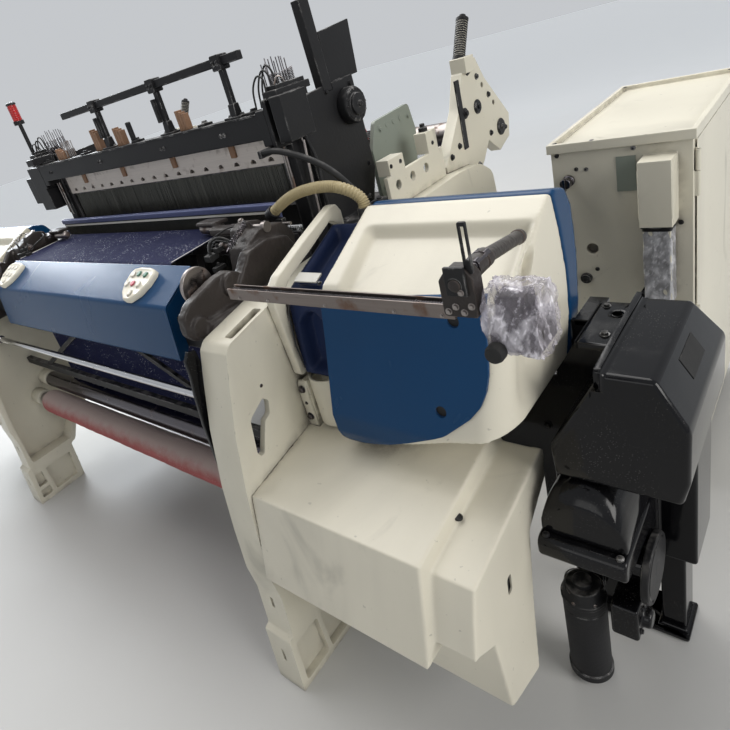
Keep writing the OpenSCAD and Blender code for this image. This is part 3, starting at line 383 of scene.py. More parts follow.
def film(name, dull, bright, thin, stretch):
    made = Finish(name, dull, 0.14, Specular_IOR_Level=0.7)
    pull = {"Vector": made.place, "Rotation": (0.45, 0.4, 0.0), "Scale": stretch}
    made.place = made.node("ShaderNodeMapping", {"vector_type": "TEXTURE"}, pull)
    folds = made.grain(40, 6, (1, 1, 1), 0.4)
    crease = made.between(folds, 0.40, 0.80) + made.between(made.grain(150, 3), 0.50, 0.74) * 0.6
    made.set(Base_Color=made.mix(rgba(dull), rgba(bright), crease))
    made.set(Alpha=thin + crease * (0.96 - thin), Normal=made.bump(folds, 0.006))


gloss_black()
woven("navy_cloth", (0.006, 0.008, 0.036), (0.014, 0.018, 0.070), 2600, 0.02, 1.0)
woven("wound_cloth", (0.33, 0.075, 0.075), (0.42, 0.13, 0.12), 2600, 0.1, 0.3, 0.440)
woven("navy_yarn", (0.016, 0.019, 0.050), (0.030, 0.034, 0.080), 900, 0.1, 0.4)
woven("white_yarn", (0.72, 0.71, 0.67), (0.80, 0.79, 0.75), 900, 0.2, 0.0)
film("clear_film", (0.42, 0.39, 0.45), (0.84, 0.81, 0.87), 0.26, (1, 1, 6))
film("duct_film", (0.26, 0.26, 0.27), (0.66, 0.66, 0.69), 0.90, (1, 1, 4))
painted("hose_yellow", (0.46, 0.38, 0.21), 0.5, grime_and_shade=1.0, chips=0.0)
lamp = Finish("lamp_plastic", (0.55, 0.02, 0.02), 0.2, Transmission_Weight=0.25)
lamp.set(Roughness=0.15 + lamp.grain(60, 3) * 0.2)
print(len(FINISHES), "finishes in all")

# %% [markdown]
# ## Outlines
# Most parts of a loom are cut or cast from a drawing. A few helpers turn a short list of corners into
# such a drawing: round corners, points at an even distance, and a soft curve through given points.

# %% Outlines
def fillet(points, radii, steps=4, closed=True):
    """The same outline with round corners; radii is one number or one for each point."""
    count = len(points)
    made = []
    for i, p in enumerate(points):
        radius = radii[i] if hasattr(radii, "__len__") else radii
        p = Vector(p)
        if radius <= 0 or (not closed and i in (0, count - 1)):
            made.append(p)
            continue
        before = Vector(points[i - 1]) - p
        after = Vector(points[(i + 1) % count]) - p
        turn = math.pi - before.angle(after)
        reach = min(radius * math.tan(turn / 2), 0.49 * before.length, 0.49 * after.length)
        a = p + before.normalized() * reach
        b = p + after.normalized() * reach
        for k in range(steps + 1):
            t = k / steps
            made.append(a * (1 - t) ** 2 + p * 2 * t * (1 - t) + b * t ** 2)
    return made


def round_box(a, b, c, d, radius):
    """A rectangle from (a, b) to (c, d) with round corners."""
    return fillet([(a, b), (c, b), (c, d), (a, d)], radius)


def spaced(points, step):
    """The same line with its long stretches cut into pieces no longer than step."""
    points = [Vector(p) for p in points]
    made = []
    for a, b in zip(points, points[1:]):
        pieces = max(1, math.ceil((b - a).length / step))
        made += [a.lerp(b, k / pieces) for k in range(pieces)]
    return made + [points[-1]]


def smooth_path(points, steps=6):
    """A soft curve through the given points."""
    points = [Vector(p) for p in points]
    points = [points[0] * 2 - points[1]] + points + [points[-1] * 2 - points[-2]]
    made = []
    for a, b, c, d in zip(points, points[1:], points[2:], points[3:]):
        for k in range(steps):
            t = k / steps
            made.append((b * 2 + (c - a) * t + (a * 2 - b * 5 + c * 4 - d) * t * t
                         + (b * 3 - a - c * 3 + d) * t ** 3) / 2)
    return made + [points[-2]]


print("a rounded square has", len(round_box(0, 0, 9, 9, 2)), "corners")

# %% [markdown]
# ## Solids from outlines
# `Shape` gathers simple solids in one mesh. A prism is one outline drawn twice and joined, a moulding
# is several outlines in a line: `loft` makes the faces of both. Rods, lathed parts and hoses are round
# tubes that follow a path.

# %% Solids
class Shape:
    def __init__(self):
        self.bm = bmesh.new()

    def add(self, points, faces):
        corners = [self.bm.verts.new(p) for p in points]
        for face in faces:
            self.bm.faces.new([corners[i] for i in face])
        return self

    def loft(self, rings):
        """Joins rings that all have as many points, and closes both ends."""
        count = len(rings[0])
        last = count * (len(rings) - 1)
        faces = [tuple(range(count)), tuple(range(last + count - 1, last - 1, -1))]
        for a in range(0, last, count):
            for i in range(count):
                m = (i + 1) % count
                faces.append((a + i, a + m, a + count + m, a + count + i))
        return self.add([p for ring in rings for p in ring], faces)

    def prism(self, axis, start, depth, outline):
        """outline lies in the other two axes, in the order x, y, z, and is pushed along axis."""
        number = "xyz".index(axis)
        rings = []
        for level in (start, start + depth):
            ring = [[a, b] for a, b in outline]
            for point in ring:
                point.insert(number, level)
            rings.append(ring)
        return self.loft(rings)

    def block(self, a, b):
        return self.prism("x", a[0], b[0] - a[0], [(a[1], a[2]), (b[1], a[2]), (b[1], b[2]), (a[1], b[2])])

    def tube(self, path, radius, sides, closed=False):
        """A round tube along a path; radius is one number or one for each point."""
        path = [Vector(p) for p in path]
        count = len(path)
        side = None
        points = []
        for i, p in enumerate(path):
            if closed:
                ahead = path[(i + 1) % count] - path[i - 1]
            else:
                ahead = path[min(i + 1, count - 1)] - path[max(i - 1, 0)]
            ahead.normalize()
            if side is None:
                side = ahead.orthogonal().normalized()
            side = (side - ahead * side.dot(ahead)).normalized()
            other = ahead.cross(side)
            r = radius[i] if hasattr(radius, "__len__") else radius
            for k in range(sides):
                turn = 2 * math.pi * k / sides
                points.append(p + (side * math.cos(turn) + other * math.sin(turn)) * r)
        faces = []
        for i in range(count if closed else count - 1):
            j = (i + 1) % count
            for k in range(sides):
                m = (k + 1) % sides
                faces.append((i * sides + k, i * sides + m, j * sides + m, j * sides + k))
        if not closed:
            faces += [tuple(range(sides - 1, -1, -1)), tuple(range((count - 1) * sides, count * sides))]
        return self.add(points, faces)

    def lathe(self, a, b, profile, sides):
        """profile is a list of (distance from a towards b, radius)."""
        a = Vector(a)
        ahead = (Vector(b) - a).normalized()
        path = [a + ahead * (t + 1e-4 * i) for i, (t, r) in enumerate(profile)]
        return self.tube(path, [max(r, 0.05) for t, r in profile], sides)

    def rod(self, a, b, radius, sides=24):
        length = (Vector(b) - Vector(a)).length
        return self.lathe(a, b, [(0, radius), (length, radius)], sides)

    def coil(self, a, b, turns, radius, wire, steps=14, sides=6):
        a = Vector(a)
        b = Vector(b)
        side = (b - a).orthogonal().normalized()
        other = (b - a).normalized().cross(side)
        path = []
        for i in range(turns * steps + 1):
            turn = 2 * math.pi * i / steps
            around = side * math.cos(turn) + other * math.sin(turn)
            path.append(a.lerp(b, i / (turns * steps)) + around * radius)
        return self.tube(path, wire, sides)

    def bolt(self, at, ahead, radius, height=None):
        """A hexagon head on its washer."""
        at = Vector(at)
        ahead = Vector(ahead).normalized()
        height = height or radius * 0.8
        self.lathe(at, at + ahead, [(-1, radius * 1.35), (radius * 0.22, radius * 1.35)], 16)
        self.lathe(at, at + ahead, [(0, radius), (height, radius), (height * 1.15, radius * 0.85)], 6)
        return self

    def mirrored(self):
        """The other hand of the same solids."""
        for v in self.bm.verts:
            v.co.x = -v.co.x
        bmesh.ops.reverse_faces(self.bm, faces=self.bm.faces)
        return self

    def piece(self, name, body, finish, slot=None, nodes=(), bevel=0.0, limit=35, steps=2):
        return dressed(solid(self), name, body, finish, nodes, bevel, limit, steps)


def as_mesh(bm):
    made = bpy.data.meshes.new("mesh")
    bm.to_mesh(made)
    bm.free()
    return made


def solid(shape):
    """The mesh of a shape in frame metres."""
    for v in shape.bm.verts:
        v.co = mm(*v.co)
    bmesh.ops.recalc_face_normals(shape.bm, faces=shape.bm.faces)
    return as_mesh(shape.bm)


print("a plain block has", len(solid(Shape().block((0, 0, 0), (9, 9, 9))).polygons), "faces")

# %% [markdown]
# ## From mesh to piece
# Every piece needs the same last steps: a finish, smooth shading with rounded edges, a place on the
# body it rides, and the plain nodes it stands for hidden. Real sheet metal has no knife edges, and
# the thin highlight on a rounded edge is what makes a part look solid.

# %% Finishing a piece
def dressed(mesh, name, body, finish, nodes=(), bevel=0.0, limit=35, steps=2):
    made = placed(name, mesh)
    mesh.name = name
    mesh.materials.clear()
    mesh.materials.append(FINISHES[finish])
    mesh.polygons.foreach_set("use_smooth", [True] * len(mesh.polygons))
    if bevel:
        rounding = made.modifiers.new("rounded edges", "BEVEL")
        rounding.width = bevel
        rounding.segments = steps
        rounding.limit_method = "ANGLE"
        rounding.angle_limit = math.radians(limit)
        rounding.use_clamp_overlap = False
        made.modifiers.new("even shading", "WEIGHTED_NORMAL").keep_sharp = True
    else:
        mesh.set_sharp_from_angle(angle=math.radians(limit))
    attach(made, body)
    if nodes:
        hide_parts(*nodes)
    return made


def reskinned(node, finish, bevel, limit=35, steps=2):
    """Replaces a node by its own triangles, joined to whole faces and with rounded edges."""
    bm = bmesh.new()
    bm.from_mesh(NODES[node].data)
    bmesh.ops.remove_doubles(bm, verts=bm.verts, dist=2e-5)
    bmesh.ops.dissolve_limit(bm, angle_limit=math.radians(0.8), verts=bm.verts, edges=bm.edges)
    dressed(as_mesh(bm), node + "_skin", body_of(node), finish, [node], bevel, limit, steps)


print("piece helpers ready")

# %% [markdown]
# ## The two free hoses
# A ribbed suction hose and a thin air hose arch from the guide column down to the selvedge unit. Each
# is swept along its own centre line, and the length of that line is printed.

# %% Suction hose and air hose
def run_length(path):
    return sum((b - a).length for a, b in zip(path, path[1:]))


def free_hose(node, y, points, rings, rib, finish):
    """rings are the radii of one rib, one for each step of rib millimetres along the hose."""
    line = smooth_path([(x, y, z) for x, z in points], 12)
    path = [line[0]]
    for a, b in zip(line, line[1:]):
        steps = max(1, round((b - a).length / rib))
        path += [a.lerp(b, (k + 1) / steps) for k in range(steps)]
    radii = [rings[k % len(rings)] for k in range(len(path))]
    shape = Shape().tube(path, radii, 24)
    made = shape.piece(node + "_run", body_of(node), finish, nodes=[node], limit=55)
    centre = [mm(*p) for p in path]
    print(node, "is", round(run_length(centre), 3), "m long")


SUCTION = [(683, 1098), (705, 1110), (730, 1122), (758, 1133), (788, 1141), (820, 1146), (855, 1149),
           (890, 1148), (918, 1143), (942, 1135), (960, 1125), (972, 1114), (976, 1104), (976, 1094.3)]
AIR = [(676.3, 1243), (700, 1244), (730, 1241), (765, 1232), (800, 1220), (835, 1205), (868, 1187),
       (898, 1164), (922, 1140), (945, 1114), (965, 1087), (978, 1068), (993, 1046)]
free_hose("suction_hose", 992, SUCTION, [14, 14, 12.2, 11.9, 12.2], 1.5, "hose_yellow")
free_hose("air_hose", 1020, AIR, [8], 6, "hose_black")

# %% [markdown]
# ## The moulded housings
# The end housings are vacuum formed plastic: big radii, a sunken tray on top that runs out at the
# front and turns the corner. Such a shape is easy to get by sculpting in code. A rough solid is
# remeshed to even squares, every point is moved by a rule, and a few smoothing passes round it off.

# %% Sculpting helpers
def result_of(made):
    """The plain mesh that an object's modifiers give; the object itself is removed."""
    graph = bpy.context.evaluated_depsgraph_get()
    graph.update()
    mesh = bpy.data.meshes.new_from_object(made.evaluated_get(graph))
    bpy.data.objects.remove(made)
    return mesh


def changed(mesh, kind, **settings):
    """The mesh after one modifier of the given kind."""
    made = placed("work", mesh)
    step = made.modifiers.new(kind, kind)
    for key, value in settings.items():
        setattr(step, key, value)
    return result_of(made)


def combined(mesh, other, operation):
    cutter = placed("cutter", other)
    result = changed(mesh, "BOOLEAN", operation=operation, solver="EXACT", object=cutter)
    bpy.data.objects.remove(cutter)
    return result


def common(shape, other):
    """What two shapes share."""
    return combined(solid(shape), solid(other), "INTERSECT")


def cut(mesh, *shapes):
    """The mesh without the given shapes."""
    for shape in shapes:
        mesh = combined(mesh, solid(shape), "DIFFERENCE")
    return mesh


def edges_rounded(mesh, radius):
    return changed(mesh, "BEVEL", width=radius / 1000, segments=3, limit_method="ANGLE",
                   angle_limit=math.radians(50))


def moulded(mesh, size, rule=None, passes=4):
    """Even squares of the given size, moved by rule(point, normal) and smoothed."""
    bm = bmesh.new()
    bm.from_mesh(changed(mesh, "REMESH", mode="VOXEL", voxel_size=size / 1000))
    every = {"use_axis_x": True, "use_axis_y": True, "use_axis_z": True}
    bmesh.ops.smooth_vert(bm, verts=bm.verts, factor=0.5, **every)
    bm.normal_update()
    if rule:
        moves = [rule(v.co * 1000 + ORIGIN, v.normal) for v in bm.verts]
        for v, move in zip(bm.verts, moves):
            v.co += Vector(move) / 1000
    for _ in range(passes):
        bmesh.ops.smooth_vert(bm, verts=bm.verts, factor=0.5, **every)
    return as_mesh(bm)


def mirrored_mesh(mesh):
    """The other hand of a finished mesh."""
    bm = bmesh.new()
    bm.from_mesh(mesh)
    for v in bm.verts:
        v.co.x = -v.co.x - 2 * ORIGIN.x / 1000
    bmesh.ops.reverse_faces(bm, faces=bm.faces)
    return as_mesh(bm)


def ramp(value, low, high):
    """0 below low, 1 above high, smooth between; low may be the larger one."""
    t = min(max((value - low) / (high - low), 0.0), 1.0)
    return t * t * (3 - 2 * t)


print("halfway up a ramp:", ramp(5, 0, 10))

# %% [markdown]
# ### The two shells
# The side view and the front view of a housing are both drawn as outlines. What the two prisms share
# is the rough block. A second, smaller block is cut out of it, because the drive wheel turns inside.
# The blue shell behind the seam is made in the same way.

# %% The right and left housings
RIGHT_INNER = 1000
LEFT_INNER = 885
OUTER_END = 1400
HOUSING_GRID = 4.5
FRONT_LINE = [(768, 1010), (756, 996), (733, 900), (706, 800), (692, 742), (694, 700), (706, 678),
              (740, 665)]
SEAM = [(935, 700), (965, 745), (987, 797), (1008, 853), (1013, 937), (999, 1024), (978, 1101)]


def front_y(z):
    """How far forward the front of a housing stands at height z."""
    line = FRONT_LINE[:-1]
    for (y_a, z_a), (y_b, z_b) in zip(line, line[1:]):
        if z >= z_b:
            return y_b + (y_a - y_b) * (z - z_b) / (z_a - z_b)
    return line[-1][0]


def sweep(x1, x2, low, y=600, depth=600):
    """Front view of a housing as a prism: its lower outer corner is cut away."""
    edge = [(x1, low), (x2 - 290, 668), (x2 - 211, 700), (x2 - 124, 730), (x2 - 60, 745), (x2 - 25, 757)]
    return Shape().prism("y", y, depth, edge + [(x2, 770), (x2, 1130), (x1, 1130)])


CORNER_WIDTH = 62
CORNER_DEPTH = 80
CORNER_REACH = 95
TRAY_DEPTH = 23


def tray_rule(x1, x2):
    def rule(p, n):
        front = front_y(p.z)
        # the front outer corner is drawn back in a long curve
        beside = max(0.0, p.x - (x2 - CORNER_WIDTH)) / CORNER_WIDTH
        back = 0.0
        if beside > 0 and p.y < front + CORNER_REACH:
            depth = CORNER_DEPTH * (1 - math.sqrt(max(0.0, 1 - min(beside, 1.0) ** 2)))
            back = depth * (1 - min(max((p.y - front) / CORNER_REACH, 0.0), 1.0))
        # sunken tray: sloping walls at the left, the rear and the outer side
        slant = 0.22 * (p.y - 900)
        sunk = ramp(p.x, x1 + 30 - slant * 0.4, x1 + 54 - slant * 0.4)
        sunk *= ramp(p.y, 916, 896) * ramp(p.x, x2 - 8, x2 - 24)
        top = sunk * ramp(n.z, 0.3, 0.75) * TRAY_DEPTH
        side = ramp(p.y, 858, 822) * ramp(n.x, 0.25, 0.8) * 18 * ramp(p.z, 770, 830)
        return (-side, back + top * 0.42, -top * 0.9)
    return rule


ROOM = [(774, 980), (762, 960), (742, 900), (715, 800), (702, 744), (704, 706), (714, 690), (742, 680),
        (858, 684), (925, 712), (955, 755), (978, 805), (998, 855), (1003, 936), (990, 1010), (972, 1066)]


def housing_shell(x1, x2):
    side = fillet(FRONT_LINE + [(860, 669)] + SEAM + [(968, 1104)], [14] + [4] * 16)
    rough = common(Shape().prism("x", x1, x2 - x1, side), sweep(x1, x2, 600))
    shell = moulded(rough, HOUSING_GRID, tray_rule(x1, x2), 3)
    room = common(Shape().prism("x", x1 + 8, x2 - x1 - 80, ROOM), sweep(x1 - 20, x2 - 40, 640, 640, 500))
    shell = combined(shell, room, "DIFFERENCE")
    mouth = [(x1 + 34, 742), (1250, 742), (1300, 776), (1317, 820), (1317, 968), (x1 + 34, 968)]
    return cut(shell, Shape().prism("y", 640, 160, fillet(mouth, 8)))


BACK_LINE = [(952, 724), (990, 742), (1032, 762), (1064, 846), (1078, 949), (1070, 1050), (1046, 1090),
             (1000, 1103)]


def back_shell(x1, x2):
    """The blue cover that closes the rear of a housing."""
    seam = [(y + 0.5, z) for y, z in reversed(SEAM)]
    side = fillet(seam + BACK_LINE, [0] * len(seam) + [4] + [20] * 6 + [6])
    return moulded(common(Shape().prism("x", x1, x2 - x1, side), sweep(x1, x2, 600)), HOUSING_GRID)


right_shell = housing_shell(RIGHT_INNER, OUTER_END)
right_back = back_shell(RIGHT_INNER, OUTER_END)
body = body_of("housing_right")
dressed(right_shell, "housing_right_shell", body, "cream_plastic", nodes=["housing_right"])
dressed(right_back, "housing_right_back", body_of("band_right"), "blue_paint", nodes=["band_right"])
left_shell = mirrored_mesh(housing_shell(LEFT_INNER, OUTER_END))
left_back = mirrored_mesh(back_shell(LEFT_INNER, OUTER_END))
dressed(left_shell, "housing_left_shell", body_of("housing_left"), "cream_plastic", nodes=["housing_left"])
dressed(left_back, "housing_left_back", body_of("housing_left"), "blue_paint")
print("housings:", len(right_shell.polygons), len(left_shell.polygons), "faces")

# %% [markdown]
# ### Doors
# Each door is a grid of squares that follows the bulge of the housing behind it. Its lower edge sweeps
# up to the outer side. Two cups with a socket screw at the bottom hold it shut.

# %% The two doors
def read_off(table, x):
    """Straight-line reading from a table of (x, value) pairs."""
    for (x_a, v_a), (x_b, v_b) in zip(table, table[1:]):
        if x <= x_b:
            return v_a + (v_b - v_a) * (x - x_a) / (x_b - x_a)
    return table[-1][1]


DOOR_EDGE = [(0, 694), (3, 682), (9, 673), (20, 668), (60, 669), (100, 680), (189, 714), (276, 753),
             (329, 796), (350, 822), (361, 850), (365, 878)]
DOOR_FACE = [(671, 694), (697, 684), (742, 682), (800, 697), (900, 724), (985, 743.5), (1012, 757)]
DOOR_SCREWS = [(1306, 966), (1272, 799)]
DOOR_END = 1359


def door_mesh(x1):
    columns = [x1 + 6 + (DOOR_END - x1) * (0.5 - 0.5 * math.cos(math.pi * i / 56)) ** 0.9 for i in range(57)]
    rows = 48
    points = []
    for depth in (0, 1):
        for x in columns:
            t = (x - x1 - 6) / (DOOR_END - x1)
            low = read_off(DOOR_EDGE, 365 - (1365 - x) * 359 / (DOOR_END - x1))
            high = 986 + 24 * t ** 0.8
            for j in range(rows + 1):
                z = low + (high - low) * j / rows
                y = front_y(z) - 1.2 if depth else read_off(DOOR_FACE, z)
                points.append((x, y, z))
    wide = rows + 1
    count = len(columns)
    faces = []
    for i in range(count - 1):
        for j in range(rows):
            a = i * wide + j
            b = a + count * wide
            faces.append((a, a + wide, a + wide + 1, a + 1))
            faces.append((b, b + 1, b + wide + 1, b + wide))
    rim = [i * wide for i in range(count)] + [(count - 1) * wide + j for j in range(1, wide)]
    rim += [i * wide + rows for i in range(count - 2, -1, -1)] + [j for j in range(rows - 1, 0, -1)]
    for a, b in zip(rim, rim[1:] + rim[:1]):
        faces.append((b, a, a + count * wide, b + count * wide))
    wells = [Shape().rod((x, 640, z), (x, 790, z), 11.2, 28) for x, z in DOOR_SCREWS]
    return cut(edges_rounded(solid(Shape().add(points, faces)), 2.8), *wells)


for side, x1 in (("right", RIGHT_INNER), ("left", LEFT_INNER)):
    node = "door_" + side
    mesh = door_mesh(x1)
    cups = Shape()
    for x, z in DOOR_SCREWS:
        y = read_off(DOOR_FACE, z)
        cups.lathe((x, y + 4, z), (x, y + 30, z), [(0, 11.3), (22, 11.3), (22, 9.4), (1, 9.4)], 28)
        cups.lathe((x, y + 12, z), (x, y + 30, z), [(0, 6.4), (1, 6.8), (8, 6.8)], 6)
    if side == "left":
        mesh = mirrored_mesh(mesh)
        cups.mirrored()
    dressed(mesh, node + "_skin", body_of(node), "blue_paint", nodes=[node], limit=40)
    cups.piece(node + "_cups", body_of(node), "rubber", "black_paint")
print("doors ready")

# %% [markdown]
# ### The recess beside the right housing
# A navy pan lies between the side frame and the housing. A light cheek runs around it. Both are
# sculpted in the same way: the rule presses an arched pocket in the front of the pan.

# %% Recess
CHEEK = [(738, 782), (731, 900), (726, 972), (734, 1002), (765, 1026), (880, 1068), (990, 1104),
         (1006, 1101), (1019, 1080), (1019, 1040), (1000, 1052), (972, 1072), (880, 1036), (790, 1004),
         (768, 986), (760, 960), (755, 900), (760, 782)]
PAN = [(753, 776), (762, 900), (770, 958), (786, 985), (830, 1003), (980, 1062), (999, 1050), (999, 776)]


def pan_rule(p, n):
    arch = 935 - 0.020 * (p.x - 940) ** 2
    pocket = ramp(p.x, 897, 907) * ramp(p.x, 988, 978) * ramp(p.z, arch + 6, arch - 6) * ramp(p.z, 786, 806)
    front = pocket * ramp(-n.y, 0.4, 0.8) * 34
    well = ramp(p.x, 890, 900) * ramp(p.x, 996, 986) * ramp(p.y, 800, 812) * ramp(p.y, 985, 965)
    return (0, front, -well * ramp(n.z, 0.5, 0.8) * 34)


body = body_of("recess_right")
pan = moulded(solid(Shape().prism("x", 878, 121, fillet(PAN, 14))), 3.5, pan_rule, 2)
dressed(pan, "recess_pan", body, "navy_paint", nodes=["recess_right"])
cheek = moulded(solid(Shape().prism("x", 855.4, 27, fillet(CHEEK, 8))), 3.0, None, 3)
dressed(cheek, "recess_cheek", body, "cream_plastic")
plates = Shape()
plates.prism("x", 899, 66, fillet([(788, 1000), (812, 1010), (811, 1014), (786, 1004)], 1))
plates.piece("recess_plate", body, "blank_label", "cream_plastic", bevel=0.0008)
trim = Shape()
trim.bolt((984, 757, 968), (0, -1, 0.2), 4)
trim.bolt((972, 790, 1000), (0, -0.35, 1), 4)
trim.rod((976, 992, 1030), (976, 992, 1095), 18)
trim.tube([(890, 748, 800), (888, 744, 860), (890, 752, 940), (892, 772, 985)], 2.2, 8)
trim.piece("recess_trim", body, "black_button", bevel=0.0008)
print("recess ready")

# %% [markdown]
# ## Side frames
# A side frame is a casting, so its outline and every pocket have round corners in the drawing plane
# as well as along the edges. The pockets are cut from a solid plate and the bearing eyes are added.

# %% Side frames
FRAME = [(434, 0), (440, 60), (450, 170), (466, 178), (478, 300), (473, 370), (484, 485), (500, 607),
         (530, 751), (560, 853), (584, 928), (600, 945), (739, 970), (1650, 970), (1800, 955),
         (1880, 905), (1925, 500), (1955, 178), (1975, 0), (1745, 0), (1735, 170), (1700, 290),
         (1600, 340), (860, 340), (745, 280), (690, 178), (664, 170), (650, 0)]
FRAME_CORNERS = [2, 10, 8, 8, 60, 60, 80, 80, 80, 80, 14, 30, 30, 20, 60, 60, 40, 30, 2, 2, 10, 30, 60, 60,
                 60, 30, 8, 2]
POCKETS = [
    [(488, 194), (494, 380), (506, 500), (524, 620), (553, 750), (582, 850), (612, 922), (745, 946),
     (900, 946), (900, 364), (740, 300), (672, 194)],
    [(926, 364), (926, 946), (1400, 946), (1400, 364)],
    [(1426, 364), (1426, 944), (1650, 938), (1650, 364)],
    [(1870, 600), (1850, 880), (1800, 925), (1700, 932), (1700, 600)],
    [(1900, 380), (1930, 194), (1762, 194), (1730, 300), (1700, 360)]]
FEET = [[(456, 18), (466, 150), (548, 150), (548, 18)], [(562, 18), (562, 150), (650, 150), (634, 18)],
        [(1762, 18), (1752, 150), (1938, 150), (1950, 18)]]
WINDOW = [(567, 681), (574, 668), (584, 667), (617, 735), (636, 742), (645, 773), (631, 788), (587, 766),
          (580, 758)]
SMALL = [[(452, 22), (458, 60), (500, 60), (500, 22)], [(460, 76), (468, 140), (500, 140), (500, 76)],
         [(520, 22), (520, 140), (640, 140), (628, 22)]]
EYES = [(730, 485, 34, 14.1), (791, 456, 30, 14.1), (665, 425, 34, 14.1), (985, 560, 44, 18.1)]


def eyes():
    made = Shape()
    for y, z, outer, bore in EYES:
        boss = [(1, outer - 2), (3, outer), (74.5, outer), (74.5, bore), (1, bore)]
        made.lathe((765, y, z), (839.5, y, z), boss, 40)
    made.prism("x", 765.5, 11, fillet([(540, 732), (545, 766), (642, 766), (642, 730)], 10))
    rim = [(0, 58), (4, 58), (6, 54), (6, 31), (0, 31)]
    made.lathe((853, 1790, 480), (862, 1790, 480), rim, 40)
    for y, z in ((900, 940), (1200, 930), (1500, 930)):
        made.bolt((855, y, z), (1, 0, 0), 8)
    return made


def frame_mesh():
    mesh = solid(Shape().prism("x", 765, 90, fillet(FRAME, FRAME_CORNERS, 6)))
    cuts = [Shape().prism("x", 764, 75, fillet(outline, 16, 5)) for outline in POCKETS]
    cuts += [Shape().prism("x", 833, 30, fillet(outline, 9, 4)) for outline in FEET]
    cuts += [Shape().prism("x", 764, 20, fillet(outline, 7, 4)) for outline in SMALL]
    cuts.append(Shape().prism("x", 760, 100, fillet(WINDOW, [8, 5, 6, 12, 10, 12, 9, 8, 8], 4)))
    cuts.append(Shape().prism("z", 900, 90, round_box(820, 618, 846, 718, 5)))
    cuts.append(Shape().prism("y", 400, 120, round_box(805, 250, 815, 282, 3)))
    cuts.append(Shape().prism("y", 400, 48, round_box(807, 84, 817, 122, 3)))
    # the edges are rounded before the eyes go in
    return edges_rounded(cut(mesh, *cuts), 3.5)


casting = frame_mesh()
body = body_of("frame_right")
dressed(casting, "frame_right_casting", body, "cream_paint", nodes=["frame_right"], limit=40)
eyes().piece("frame_right_eyes", body, "cream_paint", bevel=0.001)
left = body_of("frame_left")
dressed(mirrored_mesh(casting), "frame_left_casting", left, "cream_paint", nodes=["frame_left"], limit=40)
eyes().mirrored().piece("frame_left_eyes", left, "cream_paint", bevel=0.001)

# flange with its bolts, and the curved shield between the frame and the door
flange = fillet([(735, 612), (755, 612), (755, 760), (740, 768), (733, 740)], 5)
flange = moulded(solid(Shape().prism("x", 855.2, 31, flange)), 3.0, None, 2)
dressed(flange, "frame_right_flange", body, "cream_paint")


def arc(radius, degrees):
    turns = [math.radians(a) for a in degrees]
    return [(925 + radius * math.cos(a), 790 + radius * math.sin(a)) for a in turns]


shield = Shape().prism("z", 650, 126, arc(55, range(180, 361, 8)) + arc(50, range(360, 179, -8)))
shield.prism("z", 656, 112, fillet([(870, 742), (888, 738), (888, 790), (872, 790)], 4))
shield.piece("frame_right_shield", body, "cream_paint", bevel=0.0012, limit=50)
studs = Shape()
for z, size in ((745, 7.5), (706, 3.5), (668, 7.5)):
    studs.bolt((871, 734, z), (0, -1, 0), size)
studs.rod((741, 556, 700), (768, 556, 700), 8)
studs.rod((757.4, 556, 700), (768, 556, 700), 11)
studs.lathe((853, 640, 815), (860, 640, 815), [(0, 5), (2.5, 4.4), (3, 3)], 16)
studs.piece("frame_right_studs", body, "dark_steel", bevel=0.0006)
print("side frames ready")

# %% [markdown]
# ## Lower covers
# The cover below each housing is one soft moulding. Its cross-section stays the same as far as a
# ridge, steps down over a sloping wall and goes on to the outer end, whose panel reaches lower. The
# moulding is hollow, and a dark block behind the slot in the end panel stands in for the shade inside it.

# %% Lower covers
MAIN = [(462, 390), (488, 500), (510, 605), (850, 661), (850, 560), (640, 390)]
OUTER = [(490, 440), (511, 520), (530, 577), (846, 629), (850, 560), (640, 440)]
END = [(490, 442), (511, 520), (530, 577), (844, 630), (857, 618), (852, 590), (836, 572), (800, 564),
       (768, 548), (752, 515), (720, 330), (697, 148), (573, 192), (556, 401), (505, 436)]


def lower_cover_mesh():
    stations = [(855.4, MAIN), (1290, MAIN), (1299, OUTER), (1380, OUTER)]
    body = Shape().loft([[(x, y, z) for y, z in outline] for x, outline in stations])
    body.prism("x", 1362, 18, fillet(END, [4, 8, 8, 10, 8, 8, 8, 8, 8, 10, 30, 8, 10, 12, 6]))
    body.prism("x", 855.4, 520, [(556, 410), (571, 192), (583, 192), (568, 410)])
    rough = moulded(solid(body), 3.2, None, 2)
    room = [(476, 400), (498, 498), (519, 595), (880, 655), (880, 400), (720, 100), (584, 100), (571, 398)]
    end_room = [(500, 449), (517, 519), (535, 573), (770, 610), (770, 540), (735, 515), (700, 330),
                (680, 120), (584, 120), (571, 449)]
    notch = Shape().block((840, 732, 560), (892, 880, 720))
    pocket = Shape().block((1350, 616, 438), (1376.5, 662, 504))
    slot = Shape().prism("x", 1340, 60, fillet([(629, 450), (646, 453), (650, 492), (633, 490)], 8))
    return cut(rough, Shape().prism("x", 862, 421, room), Shape().prism("x", 1281, 87, end_room),
               notch, pocket, slot)


cover = lower_cover_mesh()
fixings_and_slot_shade = Shape()
fixings_and_slot_shade.lathe((1299, 642, 607), (1306, 642, 634), [(-4, 8.5), (-1.5, 8.5), (-1.5, 5.5), (-6, 5.0)], 24)
fixings_and_slot_shade.lathe((1299, 642, 606), (1306, 642, 633), [(-7, 5), (-4.5, 5), (-4.5, 2.4), (-6, 2.4)], 6)
for side in ("right", "left"):
    node = "lower_cover_" + side
    mesh = cover if side == "right" else mirrored_mesh(cover)
    dressed(mesh, node + "_skin", body_of(node), "cream_plastic", nodes=[node], limit=60)
